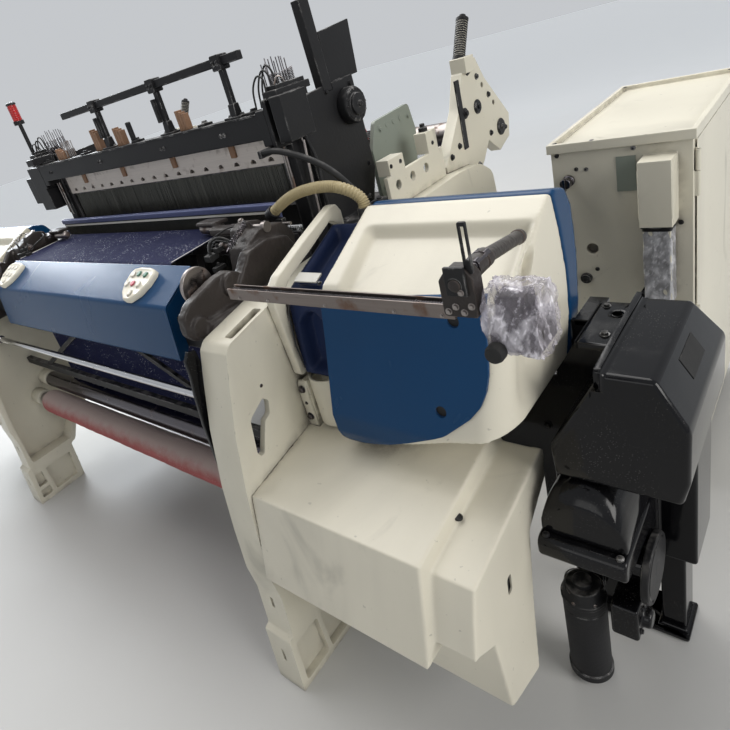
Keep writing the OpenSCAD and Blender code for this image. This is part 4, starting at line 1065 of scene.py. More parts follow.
# painted shade: a dark block behind the slot stands in for the shade inside the hollow cover
fixings_and_slot_shade.block((1371, 618, 440), (1374, 660, 502))
fixings_and_slot_shade.piece("lower_cover_right_screw_and_slot_shade", body_of("lower_cover_right"), "rubber", "black_paint")
print("lower covers:", len(cover.polygons), "faces each")

# %% [markdown]
# ## Front cover and cloth
# The blue front cover is one bent sheet with generous bends and a hem along the top. The cloth comes
# over it from the fell. It is thin, so it gets its own surface with a slight sag and two sides.

# %% Front cover
bends = fillet([(634, 842), (651, 982), (764, 1045), (768, 1036)], [0, 16, 3, 0], 6, closed=False)
inside = fillet([(764, 1035), (761, 1038.4), (654.5, 979), (638, 842)], [0, 2, 12, 0], 6, closed=False)
cover_sheet = Shape().prism("x", -570, 1140, bends + inside)
end_plate = [(638, 843), (655, 978), (766, 1040), (766, 1000), (742, 945.2), (671.8, 945.2), (671.8, 861.8),
             (660, 843)]
for x in (-570, 565):
    cover_sheet.prism("x", x, 5, end_plate)
cover_sheet.prism("x", -569, 1138, fillet([(634, 838), (640, 838), (652, 838), (652, 841.5), (636, 843)], 1))
body = body_of("breast_cover")
cover_sheet.piece("breast_cover_sheet", body, "blue_paint", nodes=["breast_cover"], bevel=0.001, limit=40)

# %% Cloth from the fell to the take-up roller
def cloth_surface():
    across = 90
    bend = [(1018, 1046), (900, 1042.2), (786, 1038.2), (774, 1029.5), (769, 1013), (766.4, 485)]
    path = spaced(bend, 16)
    points = []
    for i in range(across + 1):
        x = -600 + 1050 * i / across
        rim = min(i, across - i)
        for j, (y, z) in enumerate(path):
            curl = 0.7 * math.sin(x * 0.035 + j * 0.7) * math.sin(j * 0.25) + (0.5 if rim == 0 else 0.0)
            points.append((x, y, z + (curl if y > 780 else 0.0)))
    wide = len(path)
    faces = []
    for i in range(across):
        for j in range(wide - 1):
            a = i * wide + j
            faces.append((a, a + 1, a + wide + 1, a + wide))
    return changed(solid(Shape().add(points, faces)), "SOLIDIFY", thickness=0.0011, offset=0.0)


cloth = dressed(cloth_surface(), "cloth", body_of("cloth_web"), "navy_cloth", nodes=["cloth_web"])
selvedge = Shape()
for x in (-596, 446):
    selvedge.tube([(x, 1017, 1047), (x, 900, 1043.4), (x, 790, 1039.5)], 1.3, 6)
selvedge.piece("selvedges", body_of("cloth_web"), "white_yarn")
print("front cover and cloth ready")

# %% [markdown]
# ### Push-button panels
# Two shield-shaped panels lie on the front cover. Each button sits in a pale oval ring. The buttons of
# the right panel can be pressed: they keep their plain shape and get rounded edges. The buttons of the
# left panel stand still, so they are simple caps.

# %% Panels
SLOPE = math.atan2(63, 113)
SHIELD = [(-14, 3), (14, 3), (42, 26), (56, 58), (58, 90), (50, 103), (22, 109), (-22, 109), (-50, 103),
          (-58, 90), (-56, 58), (-42, 26)]
BUTTONS = [(-34, 82), (-8, 86), (24, 84), (-38, 52), (-10, 54), (18, 52), (2, 24)]


def on_cover(x, u, v, w):
    """A point on the sloping cover: u along x, v up the slope, w away from it."""
    return (x + u, 651 + v * math.cos(SLOPE) - w * math.sin(SLOPE),
            982 + v * math.sin(SLOPE) + w * math.cos(SLOPE))


def panel_piece(node, x):
    middle = Vector((0, 55))
    levels = []
    for w, scale in ((0.4, 1.0), (11, 1.0), (14.5, 0.975), (16, 0.93), (16.2, 0.88), (15.4, 0.86)):
        outline = [middle + (p - middle) * scale for p in fillet(SHIELD, 12, 4)]
        levels.append([on_cover(x, q.x, q.y, w) for q in outline])
    wells = [Shape().rod(on_cover(x, u, v, 2), on_cover(x, u, v, 24), 9.3, 28) for u, v in BUTTONS]
    mesh = cut(solid(Shape().loft(levels)), *wells)
    body = body_of(node)
    dressed(mesh, node + "_skin", body, "cream_plastic", nodes=[node], limit=40)
    rings = Shape()
    for u, v in BUTTONS:
        loop = []
        for k in range(24):
            turn = 2 * math.pi * k / 24
            loop.append(on_cover(x, u + 10.6 * math.cos(turn), v + 9.8 * math.sin(turn), 15.5))
        rings.tube(loop, 1.1, 8, closed=True)
    rings.piece(node + "_rings", body, "blank_label", "cream_plastic")
    if node == "panel_left":
        caps = Shape()
        for u, v in BUTTONS:
            caps.lathe(on_cover(x, u, v, 1), on_cover(x, u, v, 24), [(0, 8.4), (16, 8.4), (17.4, 7.2)], 24)
        caps.piece("panel_left_buttons", body, "ivory_button")


panel_piece("panel_right", 400)
panel_piece("panel_left", -490)
for number, finish in enumerate(["ivory", "green", "green", "ivory", "pink", "ivory", "ivory"], 1):
    reskinned("button_%d" % number, finish + "_button", 0.0009)
print("panels ready")

# %% [markdown]
# ## Rollers under the front cover
# Rollers are turned parts: a lathe profile gives the barrel, the shoulders and the journals. The wound
# cloth is not a perfect cylinder; its ends step a little and its surface waves by half a millimetre.

# %% Rollers
def turned(node, y, z, barrel, finish):
    profile = [(-803, 13), (-802, 14), (-755, 14), (-753, 14), (-753, barrel - 2), (-751, barrel),
               (751, barrel), (753, barrel - 2), (753, 14), (802, 14), (803, 13)]
    shape = Shape().lathe((0, y, z), (1, y, z), profile, 56)
    shape.piece(node + "_turned", body_of(node), finish, nodes=[node], limit=40)


turned("takeup_roller", 730, 485, 34, "dark_steel")
turned("press_roller", 789, 462, 19, "polished_steel")
tube = Shape().lathe((-765, 625, 748), (-764, 625, 748), [(0, 11), (1530, 11)], 40)
for x in (-765, 757):
    tube.lathe((x, 625, 748), (x + 1, 625, 748), [(0, 15), (1, 16), (7, 16), (8, 15)], 32)
for x in (-500, 60, 560):
    tube.lathe((x, 613.8, 748), (x, 612, 748), [(-1, 2.6), (0.4, 2.6), (0.9, 1.8)], 12)
tube.piece("guard_tube_turned", body_of("guard_tube"), "polished_steel", nodes=["guard_tube"], limit=40)


def cloth_roll_mesh():
    sides = 72
    steps = 150
    rings = []
    for i in range(steps + 1):
        x = -690 + 1380 * i / steps
        edge = min(i, steps - i)
        ring = []
        for k in range(sides):
            turn = 2 * math.pi * k / sides
            wave = 0.5 * math.sin(x * 0.021 + 2 * turn) + 0.35 * math.sin(x * 0.09 + turn * 3)
            r = 49.2 + wave - (3.5 if edge == 0 else 0.8 if edge == 1 else 0)
            ring.append((x, 665 + r * math.cos(turn), 425 + r * math.sin(turn)))
        rings.append(ring)
    return Shape().loft(rings)


body = body_of("cloth_roll")
cloth_roll_mesh().piece("wound_cloth", body, "wound_cloth", nodes=["cloth_roll"])
journal = [(0, 13), (1, 14), (55, 14), (55, 23), (56, 24), (125, 24)]
axle = Shape().lathe((-815, 665, 425), (-814, 665, 425), journal, 40)
journal = [(0, 24), (69, 24), (70, 23), (70, 14), (124, 14), (125, 13)]
axle.lathe((690, 665, 425), (691, 665, 425), journal, 40)
axle.piece("cloth_roll_axle", body, "worn_steel", limit=40)
print("rollers ready")

# %% [markdown]
# ## Take-up castings and temples
# At each edge of the cloth stands a cluster of oily castings: a bent lever, pulleys, the temple arm
# with its ringed cylinder, and small valves with their cables. Cast parts are remeshed and smoothed
# like the mouldings, with a rough skin; turned parts and bolts stay crisp.

# %% Take-up castings
def rough_skin(scale, depth):
    def rule(p, n):
        return n * (noise.noise(p * scale) * depth)
    return rule


def takeup_cluster(edge, hand):
    """edge is where the cloth ends; the cluster of the left side is built mirrored."""
    cast = Shape()
    # bent lever in front, with its boss and foot
    lever = [(586, 958), (600, 938), (630, 928), (662, 946), (700, 956), (735, 958), (770, 985),
             (768, 1030), (742, 1046), (704, 1044), (662, 1034), (618, 1022), (590, 1000)]
    cast.prism("x", 714, 26, fillet(lever, [14, 14, 20, 20, 30, 30, 20, 14, 16, 40, 60, 30, 16], 4))
    cast.rod((704, 742, 1012), (752, 742, 1012), 30, 28)
    cast.rod((706, 622, 962), (748, 622, 962), 24, 28)
    # plate on the side frame
    line = [(604, 826), (604, 905), (640, 958), (900, 972), (960, 945), (960, 826)]
    cast.prism("x", 751, 13.6, fillet(line, 14))
    line = [(748, 946), (744, 1000), (806, 1064), (870, 1070), (940, 1052), (968, 1000), (952, 958),
            (900, 946)]
    cast.prism("x", 724, 34, fillet(line, 14))
    # box-shaped casting and the arm of the temple
    line = [(806, 1000), (820, 1066), (880, 1092), (960, 1080), (990, 1040), (976, 985), (900, 968)]
    cast.prism("x", 668, 64, fillet(line, 12))
    line = [(852, 1050), (862, 1098), (900, 1108), (938, 1096), (950, 1052), (900, 1040)]
    cast.prism("x", 640, 40, fillet(line, 9))
    cast.prism("x", edge + 12, 700 - edge, fillet([(926, 1056), (930, 1076), (966, 1078), (968, 1058)], 5))
    cast.prism("x", edge - 66, 92, fillet([(944, 1078), (950, 1090), (996, 1088), (1000, 1076)], 4))
    cast.rod((735, 690, 905), (764.6, 690, 905), 36, 28)
    cast.block((733, 640, 946), (753, 900, 968))
    castings = moulded(solid(cast), 3.0, rough_skin(0.09, 0.9), 1)
    lathed = Shape()
    # pulley with its hub, hand disc behind the cover and the drive wheel
    line = [(0, 10), (0, 22), (3, 25), (6, 20), (11, 20), (14, 25), (17, 22), (17, 9), (31, 9)]
    lathed.lathe((704, 655, 934), (735, 655, 934), line, 36)
    line = [(0, 30), (0, 43), (2, 45), (9, 45), (11, 43), (11, 30), (8, 28), (8, 14), (-4, 12), (-4, 6)]
    lathed.lathe((676, 690, 1030), (700, 690, 1030), line, 44)
    line = [(0, 7), (0, 12), (6, 13), (8, 8), (60, 8), (62, 14), (75, 14)]
    lathed.lathe((660, 905, 1088), (735, 905, 1088), line, 28)
    # temple cylinder with its rings
    rings = []
    for k in range(15):
        rings += [(k * 6, 13.2), (k * 6 + 1.4, 15.2), (k * 6 + 3.4, 15.2), (k * 6 + 5, 13.2)]
    lathed.lathe((edge - 70, 972, 1064), (edge, 972, 1064), [(-3, 6), (-2, 11)] + rings + [(91, 11)], 30)
    lathed.rod((edge + 50, 984, 1066), (735, 984, 1066), 5, 16)
    lathed.rod((600, 850, 1062), (690, 850, 1062), 6, 16)
    lathed.rod((612, 850, 1062), (622, 850, 1062), 12, 20)
    for x, y, z in ((713, 622, 962), (713, 742, 1012), (720, 820, 1050), (720, 930, 1030), (668, 850, 1030),
                    (668, 930, 1050), (750, 640, 900), (750, 900, 900), (735, 690, 905)):
        lathed.bolt((x, y, z), (-1, 0, 0), 7)
    for x, y, z in ((690, 850, 1090), (700, 930, 1088), (650, 900, 1108)):
        lathed.bolt((x, y, z), (0, -0.3, 1), 6)
    # return springs
    springs = Shape()
    springs.coil((700, 800, 1078), (700, 872, 1112), 14, 6.5, 1.3)
    springs.coil((648, 980, 1074), (600, 930, 1072), 12, 5, 1.1)
    springs.tube([(700, 790, 1072), (700, 800, 1078)], 1.3, 6)
    springs.tube([(700, 872, 1112), (700, 884, 1108), (698, 892, 1096)], 1.3, 6)
    # valve blocks, their screws and the wires between them
    blocks = Shape()
    for x, y, z, a, b, c in ((596, 792, 1040, 24, 30, 16), (610, 816, 1054, 18, 22, 14),
                             (574, 812, 1030, 20, 20, 20), (622, 786, 1016, 16, 34, 12)):
        blocks.prism("x", x, a, fillet([(y, z), (y + b, z + 3), (y + b, z + c), (y, z + c)], 2))
        top = Vector((x + a / 2, y + b / 2, z + c))
        blocks.lathe(top, top + Vector((0, 0, 9)), [(-1, 4), (7, 4), (9, 2.5)], 12)
    wires = Shape()
    wires.tube(smooth_path([(606, 806, 1062), (622, 812, 1088), (652, 822, 1094), (684, 834, 1070),
                            (696, 850, 1030), (712, 880, 1004), (740, 925, 990), (752, 942, 980)]), 3.4, 10)
    wires.tube(smooth_path([(586, 822, 1052), (600, 840, 1078), (634, 850, 1070), (660, 852, 1064)]), 2.2, 8)
    wires.tube(smooth_path([(580, 820, 1050), (560, 850, 1072), (575, 900, 1086), (620, 920, 1090),
                            (650, 926, 1092)]), 2.0, 8)
    wires.tube(smooth_path([(620, 800, 1018), (660, 780, 990), (700, 782, 960), (748, 792, 940)]), 2.6, 8)
    hub = Shape().lathe((702, 655, 934), (735, 655, 934), [(-2, 3), (-2, 9), (3, 10.5)], 24)
    node = "takeup_drive_" + hand
    body = body_of(node)
    if hand == "left":
        castings = mirrored_mesh(castings)
        for shape in (lathed, springs, blocks, wires, hub):
            shape.mirrored()
    dressed(castings, node + "_castings", body, "oily_iron", nodes=[node], limit=60)
    lathed.piece(node + "_turned", body, "worn_steel", bevel=0.0006, limit=40)
    springs.piece(node + "_springs", body, "dark_steel")
    blocks.piece(node + "_valves", body, "rubber", "black_paint", bevel=0.001)
    wires.piece(node + "_wires", body, "hose_black", limit=60)
    hub.piece(node + "_hub", body, "pink_button")


takeup_cluster(450, "right")
takeup_cluster(600, "left")
socket = Shape().lathe((661.5, 992, 1086.2), (682.5, 992, 1097.8), [(0, 17), (1, 18), (22, 18), (24, 16)], 32)
socket.prism("x", 655, 51, fillet([(984, 1050), (984, 1078), (1000, 1078), (1000, 1050)], 3))
socket.piece("hose_socket", body_of("takeup_drive_right"), "black_paint", bevel=0.001)
print("take-up castings ready")

# %% [markdown]
# ## Rows of equal things
# A loom is full of rows: heald wires, reed dents, yarns, droppers. One Geometry Nodes tree makes them
# all. It puts copies of a small mesh on a line and shakes each copy a little, so that the row looks
# handled and not printed. The seed is fixed, so the row is the same each time.

# %% A Geometry Nodes tree for rows
ROW_INPUTS = [("Geometry", "NodeSocketGeometry"), ("Count", "NodeSocketInt"), ("Start", "NodeSocketVector"),
              ("Step", "NodeSocketVector"), ("Shake", "NodeSocketVector"), ("Sway", "NodeSocketVector"),
              ("Seed", "NodeSocketInt"), ("Material", "NodeSocketMaterial")]


def row_tree():
    tree = bpy.data.node_groups.new("row of copies", "GeometryNodeTree")
    for name, kind in ROW_INPUTS:
        tree.interface.new_socket(name, in_out="INPUT", socket_type=kind)
    tree.interface.new_socket("Geometry", in_out="OUTPUT", socket_type="NodeSocketGeometry")
    net = Net(tree)
    group = tree.nodes.new("NodeGroupInput")
    given = {name: Val(net, group.outputs[name]) for name, _ in ROW_INPUTS}
    start = {"Count": given["Count"], "Start Location": given["Start"], "Offset": given["Step"]}
    line = net.node("GeometryNodeMeshLine", {"mode": "OFFSET"}, start)
    shaking = {"Max": given["Shake"], "Seed": given["Seed"]}
    turning = {"Max": given["Sway"], "Seed": given["Seed"] + 1}
    shake = net.node("FunctionNodeRandomValue", {"data_type": "FLOAT_VECTOR"}, shaking)
    sway = net.node("FunctionNodeRandomValue", {"data_type": "FLOAT_VECTOR"}, turning)
    moved = net.node("GeometryNodeSetPosition", None, {"Geometry": line, "Offset": shake})
    placing = {"Points": moved, "Instance": given["Geometry"], "Rotation": sway}
    copies = net.node("GeometryNodeInstanceOnPoints", None, placing)
    real = net.node("GeometryNodeRealizeInstances", None, {"Geometry": copies})
    painted_row = net.node("GeometryNodeSetMaterial", None, {"Geometry": real, "Material": given["Material"]})
    end = tree.nodes.new("NodeGroupOutput")
    tree.links.new(painted_row.socket, end.inputs["Geometry"])
    return tree


ROW = row_tree()
ROW_KEYS = {item.name: item.identifier for item in ROW.interface.items_tree if item.in_out == "INPUT"}


def row(shape, count, step, finish, shake, sway, seed):
    """The mesh of count copies of a shape; the shape is drawn where the first copy stands."""
    mesh = solid(shape)
    start = sum((v.co for v in mesh.vertices), Vector()) / len(mesh.vertices)
    mesh.transform(Matrix.Translation(-start))
    made = placed("row", mesh)
    maker = made.modifiers.new("row", "NODES")
    maker.node_group = ROW
    values = {"Count": count, "Start": list(start), "Step": [v / 1000 for v in step], "Seed": seed,
              "Shake": [v / 1000 for v in shake], "Sway": list(sway), "Material": FINISHES[finish]}
    for name, value in values.items():
        maker[ROW_KEYS[name]] = value
    return result_of(made)


def rows_piece(meshes, name, body, finish, nodes=()):
    """Several rows joined in one piece."""
    bm = bmesh.new()
    for mesh in meshes:
        bm.from_mesh(mesh)
    dressed(as_mesh(bm), name, body, finish, nodes, 0.0, 40)


print("row tree with", len(ROW.nodes), "nodes")

# %% [markdown]
# ## The shed
# Each heald frame is a light bar with a line of D-shaped windows. Under it hangs a curtain of flat
# wires. The reed in front has a lilac cap, a comb of thin dents and its own foot in the sley.

# %% Heald frames with their wires
def heald_bar(y):
    shape = Shape().prism("y", y, 9, round_box(-640, 1190, 640, 1262, 3))
    holes = Shape()
    turns = [math.pi * t / 8 for t in range(9)]
    for x in range(-592, 593, 74):
        holes.prism("y", y - 2, 13, [(x + 12 * math.cos(a), 1200 + 12 * math.sin(a)) for a in turns])
    return cut(solid(shape), holes)


def bare_ends(y):
    shape = Shape()
    for side in (-1, 1):
        low, high = sorted((side * 636, side * 662))
        shape.block((low, y + 0.3, 760.2), (high, y + 8.7, 1261.8))
        shape.bolt((side * 650, y, 1236), (0, -1, 0), 4.5)
        shape.bolt((side * 650, y, 1204), (0, -1, 0), 4.5)
    shape.prism("y", y, 9, round_box(-640, 760, 640, 820, 3))
    shape.block((-622, y + 3, 1186), (622, y + 6, 1191))
    return shape


def heald_wire(y, low, high):
    return Shape().block((-618.9, y + 4.2, low), (-617.3, y + 4.8, high))


for number in range(1, 5):
    node = "heald_frame_%d" % number
    y = 1118 + 16 * (number - 1)
    body = body_of(node)
    dressed(heald_bar(y), node + "_bar", body, "heald_aluminium", nodes=[node], bevel=0.0008, limit=50)
    bare_ends(y).piece(node + "_ends", body, "sley_grey", bevel=0.0008)
    wires = [row(heald_wire(y, low, high), 376, (3.3, 0, 0), "wire", (0.9, 2.2, 0), (0, 0.006, 0.5), number)
             for low, high in ((1085, 1190), (820, 990))]
    rows_piece(wires, node + "_wires", body, "wire")
clips = Shape()
for x in (-470, -170, 150, 450):
    clips.prism("y", 1110, 8, round_box(x - 11, 1226, x + 11, 1261, 2))
clips.piece("heald_clips", body_of("heald_frame_1"), "old_wood", "heald_aluminium", bevel=0.0012)
print("healds ready")

# %% Reed and sley
body = body_of("reed")
cap = Shape()
profile = [(1028, 1089), (1028, 1103), (1031, 1106), (1036, 1106), (1037, 1104), (1040, 1104), (1041, 1106),
           (1046, 1106), (1048, 1103), (1048, 1089), (1041, 1086), (1035, 1086)]
cap.prism("x", -652, 1304, profile)
cap.prism("x", -648, 1296, [(1033.4, 1001), (1042.6, 1001), (1042.6, 1020), (1033.4, 1020)])
for x in (-652, 640):
    cap.block((x, 1034, 1018), (x + 12, 1042, 1090))
cap.piece("reed_cap", body, "reed_metal", nodes=["reed"], bevel=0.0009, limit=30)
dent = Shape().block((-640, 1035.4, 1018), (-639.3, 1040.6, 1090))
rows_piece([row(dent, 640, (2.0, 0, 0), "wire", (0.12, 0.1, 0), (0, 0, 0.03), 9)], "reed_dents", body, "wire")
strip = Shape().prism("x", -640, 1280, fillet([(1029.5, 1078), (1035, 1078), (1035, 1085), (1031, 1085)], 1))
strip.piece("reed_strip", body, "blank_label", "sley_grey", bevel=0.0006)

body = body_of("sley")
beam = fillet([(1026, 956), (1030, 1018), (1033, 1020), (1033, 1000), (1043, 1000), (1043, 1020),
               (1053, 1020), (1054, 956), (1040, 950)], [6, 3, 0, 0, 0, 0, 3, 6, 6])
sley_shape = Shape().prism("x", -700, 1400, beam)
for x in (-560, -190, 190, 560):
    sley_shape.prism("x", x - 15, 30, fillet([(959, 560), (1011, 560), (1052, 954), (1028, 954)], 8))
    sley_shape.lathe((x - 24, 985, 560), (x, 985, 560), [(0, 34), (2, 36), (46, 36), (48, 34)], 36)
    for y, z in ((1030, 965), (1044, 965)):
        sley_shape.bolt((x, y, z), (0, -1, 0), 6)
sley_shape.lathe((-810, 985, 560), (-809, 985, 560), [(0, 17), (1, 18), (1619, 18), (1620, 17)], 36)
for k in range(13):
    sley_shape.bolt((-660 + k * 110, 1026.4, 985), (0, -1, 0), 5)
sley_shape.piece("sley_beam", body, "sley_grey", nodes=["sley"], bevel=0.0015, limit=40)
print("reed and sley ready")

# %% [markdown]
# ## Harness beam, rail and guide columns
# These are welded boxes in worn black paint. Bolts, clamps, cords and a few little wooden wedges are
# added to the rounded boxes.

# %% Upper works
body = body_of("harness_beam")
reskinned("harness_beam", "black_paint", 0.004, 35, 3)
extras = Shape()
for x in (-600, -585, -195, -180, 205, 220, 500, 515):
    extras.bolt((x, 1050, 1300), (0, -1, 0), 5)
extras.block((-650, 1047, 1329), (650, 1050.2, 1334))
for x in (-628, -300, 60, 420, 628):
    extras.prism("z", 1334, 7, round_box(x - 16, 1058, x + 16, 1092, 3))
    extras.bolt((x, 1075, 1341), (0, 0, 1), 8)
for x in (-110, 250, 560):
    extras.prism("z", 1334, 6, round_box(x - 34, 1056, x + 34, 1094, 5))
    for d in (-24, 24):
        extras.bolt((x + d, 1075, 1340), (0, 0, 1), 6)
extras.piece("harness_beam_bolts", body, "black_paint", bevel=0.0008)
wedges = Shape()
for x, wide, high in ((-210, 40, 74), (-60, 46, 60), (305, 40, 58), (-520, 56, 42)):
    for k in range(3):
        wedges.block((x + k * wide / 3, 1070, 1334.2), (x + (k + 0.92) * wide / 3, 1090, 1334 + high - k * 6))
wedges.piece("wooden_wedges", body, "old_wood", "black_paint", bevel=0.0012)
pegs = Shape().rod((-470, 1078, 1334), (-470, 1078, 1392), 1.8, 8)
pegs = row(pegs, 9, (9, 0, 0), "worn_steel", (2, 12, 6), (0.06, 0.06, 0), 3)
rows_piece([pegs], "peg_rack", body, "worn_steel")

body = body_of("upper_rail")
reskinned("upper_rail", "black_paint", 0.002)
clamps = Shape()
for x in (-110, 250, 560):
    clamps.prism("y", 1058, 34, round_box(x - 17, 1456, x + 17, 1494, 5))
    clamps.bolt((x - 8, 1058, 1475), (0, -1, 0), 5)
    clamps.bolt((x + 8, 1058, 1475), (0, -1, 0), 5)
    clamps.prism("x", x - 12, 24, fillet([(1062, 1334), (1088, 1334), (1084, 1372), (1066, 1372)], 4))
clamps.piece("rail_clamps", body, "black_paint", bevel=0.001)


def column_details(hand):
    """Fittings of one guide column, drawn for the right side; t is where the column begins in x."""
    node = "tower_" + hand
    t = 654
    iron = Shape()
    drum = [(0, 46), (6, 50), (26, 50), (32, 46), (34, 30), (42, 30), (44, 26), (44, 8), (50, 8), (51, 5)]
    iron.lathe((t + 60, 1350, 1275), (t + 100, 1350, 1275), drum, 44)
    for k in range(12):
        turn = math.radians(30 * k)
        iron.bolt((t + 92, 1350 + 41 * math.cos(turn), 1275 + 41 * math.sin(turn)), (1, 0, 0), 3.4)
    for y, z in ((1170, 1010), (1170, 1320), (1380, 1330), (1385, 1100), (1350, 1010), (1270, 1330)):
        iron.bolt((t + 62, y, z), (1, 0, 0), 6)
    for z in (1268, 1300, 1350):
        iron.bolt((t + 10, 1104, z), (0, -1, 0), 6)
    for y in (1200, 1300, 1370):
        iron.bolt((t + 80, y, 990), (0, 0, 1), 8)
    cable = [(t + 66, 1160, 1000), (t + 78, 1140, 1080), (t + 74, 1150, 1180), (t + 60, 1140, 1262)]
    iron.tube(smooth_path(cable), 5, 10)
    iron.prism("z", 1378, 10, round_box(t + 42, 1070, t + 80, 1180, 4))
    rods = Shape().rod((t + 12, 1098, 1110), (t + 12, 1098, 1248), 3.4, 12)
    rods.rod((t + 24, 1094, 1120), (t + 24, 1094, 1250), 2.4, 12)
    rods.rod((t + 66, 1110, 1000), (t + 66, 1130, 1240), 4, 12)
    rods.tube(smooth_path([(t + 66, 1126, 1238), (t + 70, 1118, 1330), (t + 72, 1112, 1392),
                           (t + 66, 1098, 1404), (t + 58, 1090, 1388)]), 2.2, 8)
    cords = Shape().rod((t + 8, 1112, 1362), (t + 8, 1112, 1440), 1.5, 8)
    strands = [row(cords, 10, (0, 9.5, 0), "dark_steel", (5, 2, 14), (0.05, 0.05, 0), 5)]
    cords = Shape().coil((t + 24, 1116, 1364), (t + 24, 1116, 1410), 12, 4.2, 0.9, 10, 5)
    strands.append(row(cords, 8, (0, 12, 0), "dark_steel", (3, 1, 8), (0.03, 0.03, 0), 6))
    wiring = Shape()
    for k, y in enumerate((1064, 1084, 1098)):
        wiring.tube(smooth_path([(t + 50 + 8 * k, y, 1378), (t + 44, y + 6, 1408 + 10 * k),
                                 (t + 20, y + 10, 1416 + 8 * k), (t - 2, y + 8, 1388),
                                 (t - 6, y + 4, 1342)]), 2.6, 8)
    body = body_of(node)
    if hand == "left":
        iron.mirrored()
        wiring.mirrored()
        rods.mirrored()
        strands = [mirrored_mesh(mesh) for mesh in strands]
    iron.piece(node + "_fittings", body, "black_paint", bevel=0.0008)
    wiring.piece(node + "_wiring", body, "hose_black", limit=60)
    rods.piece(node + "_rods", body, "worn_steel", limit=50)
    rows_piece(strands, node + "_cords", body, "dark_steel")


for hand in ("right", "left"):
    reskinned("tower_" + hand, "black_paint", 0.0022)
    column_details(hand)

body = body_of("signal_lamp")
at = Vector((-790, 1105, 0))
above = at + Vector((0, 0, 1))
post = [(1340, 8), (1504, 8), (1504, 20), (1506, 21), (1520, 21), (1520, 16)]
stand = Shape().lathe(at, above, post, 36)
stand.prism("z", 1330, 10, round_box(-812, 1083, -768, 1127, 4))
stand.lathe(at, above, [(1582, 18), (1583, 20), (1588, 19.5), (1592, 16), (1593.9, 8)], 36)
stand.piece("lamp_stand", body, "black_paint", nodes=["signal_lamp"], bevel=0.0008)
rings = [(1520.2, 17)]
for k in range(7):
    rings += [(1522 + k * 8.4, 18), (1526 + k * 8.4, 18), (1528 + k * 8.4, 17.2), (1529 + k * 8.4, 17.2)]
glass = Shape().lathe(at, above, rings + [(1581.8, 17)], 40)
glass.piece("lamp_glass", body, "lamp_plastic", limit=50)
print("upper works ready")

# %% [markdown]
# ## The warp side
# Five hundred yarns run from the healds through the stop motion, over the back rest and down to the
# warp beam. Each yarn carries a thin steel dropper: when the yarn breaks, the dropper falls on its
# contact bar and the loom stops.

# %% Warp yarns, droppers and stop motion
def around(y, z, radius, degrees):
    turn = math.radians(degrees)
    return (-600, y + radius * math.cos(turn), z + radius * math.sin(turn))


path = [(-600, 1105.4, 1048.8), (-600, 1500, 1052.6)]
path += [around(2085, 1010, 48.9, 90 - k * 17.02) for k in range(7)]
path = spaced(path + [around(1790, 480, 226.2, -12.1)], 130)
yarn = row(Shape().tube(path, 0.42, 3), 526, (2, 0, 0), "navy_yarn", (0.5, 0, 0.25), (0, 0, 0), 4)
rows_piece([yarn], "warp_yarns", body_of("warp_sheet"), "navy_yarn", ["warp_sheet"])

body = body_of("stop_motion")
plates = Shape()
side = fillet([(1440, 970), (1440, 1120), (1480, 1200), (1680, 1210), (1700, 1120), (1660, 970)], 18)
for x in (-697, 683):
    plates.prism("x", x, 14, side)
    for y, z in ((1462, 1000), (1650, 1000), (1500, 1170), (1665, 1170)):
        plates.bolt((x + 14, y, z), (1, 0, 0), 6)
    for y in (1500, 1540, 1580, 1620):
        plates.lathe((x - 2, y, 1176), (x + 16, y, 1176), [(0, 9), (17, 9), (18, 7)], 20)
for low, high in ((-798, -683), (683, 798)):
    plates.block((low, 1540, 970), (high, 1600, 990))
plates.piece("stop_motion_plates", body, "grey_plate", "sley_grey", ["stop_motion"], 0.0012, 40)
bars = Shape()
for y in (1450, 1684):
    bars.rod((-690, y, 1100), (690, y, 1100), 10)
for k in range(6):
    y = 1480 + 32 * k
    bars.prism("x", -690, 1380, round_box(y - 4, 1130, y + 4, 1150, 1.5))
bars.piece("contact_bars", body, "black_paint", "stop_motion_paint", bevel=0.0006)
fallers = []
for k in range(6):
    y = 1480 + 32 * k
    blade = [(y - 4.5, 1054), (y + 4.5, 1054), (y + 4.5, 1128), (y, 1133), (y - 4.5, 1128)]
    made = Shape().prism("x", -597, 0.5, blade)
    fallers.append(row(made, 260, (4, 0, 0), "worn_steel", (1.6, 0, 7), (0, 0, 0.12), 20 + k))
rows_piece(fallers, "droppers", body, "worn_steel")
tuft = Shape()
for k in range(60):
    wild = random.Random(k)
    x = 600 + 70 * wild.random()
    y = 1400 + 80 * wild.random()
    z = 1130 + 50 * wild.random()
    bend = [(x, y, z), (x + wild.uniform(-15, 15), y + wild.uniform(-12, 12), z + 26),
            (x + wild.uniform(-20, 8), y + wild.uniform(-25, 25), z + wild.uniform(-20, 30))]
    tuft.tube(smooth_path(bend), 1.1, 6)
tuft.piece("yarn_tufts", body, "stop_motion_paint", limit=60)
print("stop motion with", 6 * 260, "droppers")

# %% [markdown]
# The back rest roller is carried by two tall cream arms. On each arm stand a coil spring on its rod, a
# clamp and a bent steel strip. The beam below holds the wound warp between two steel flanges.

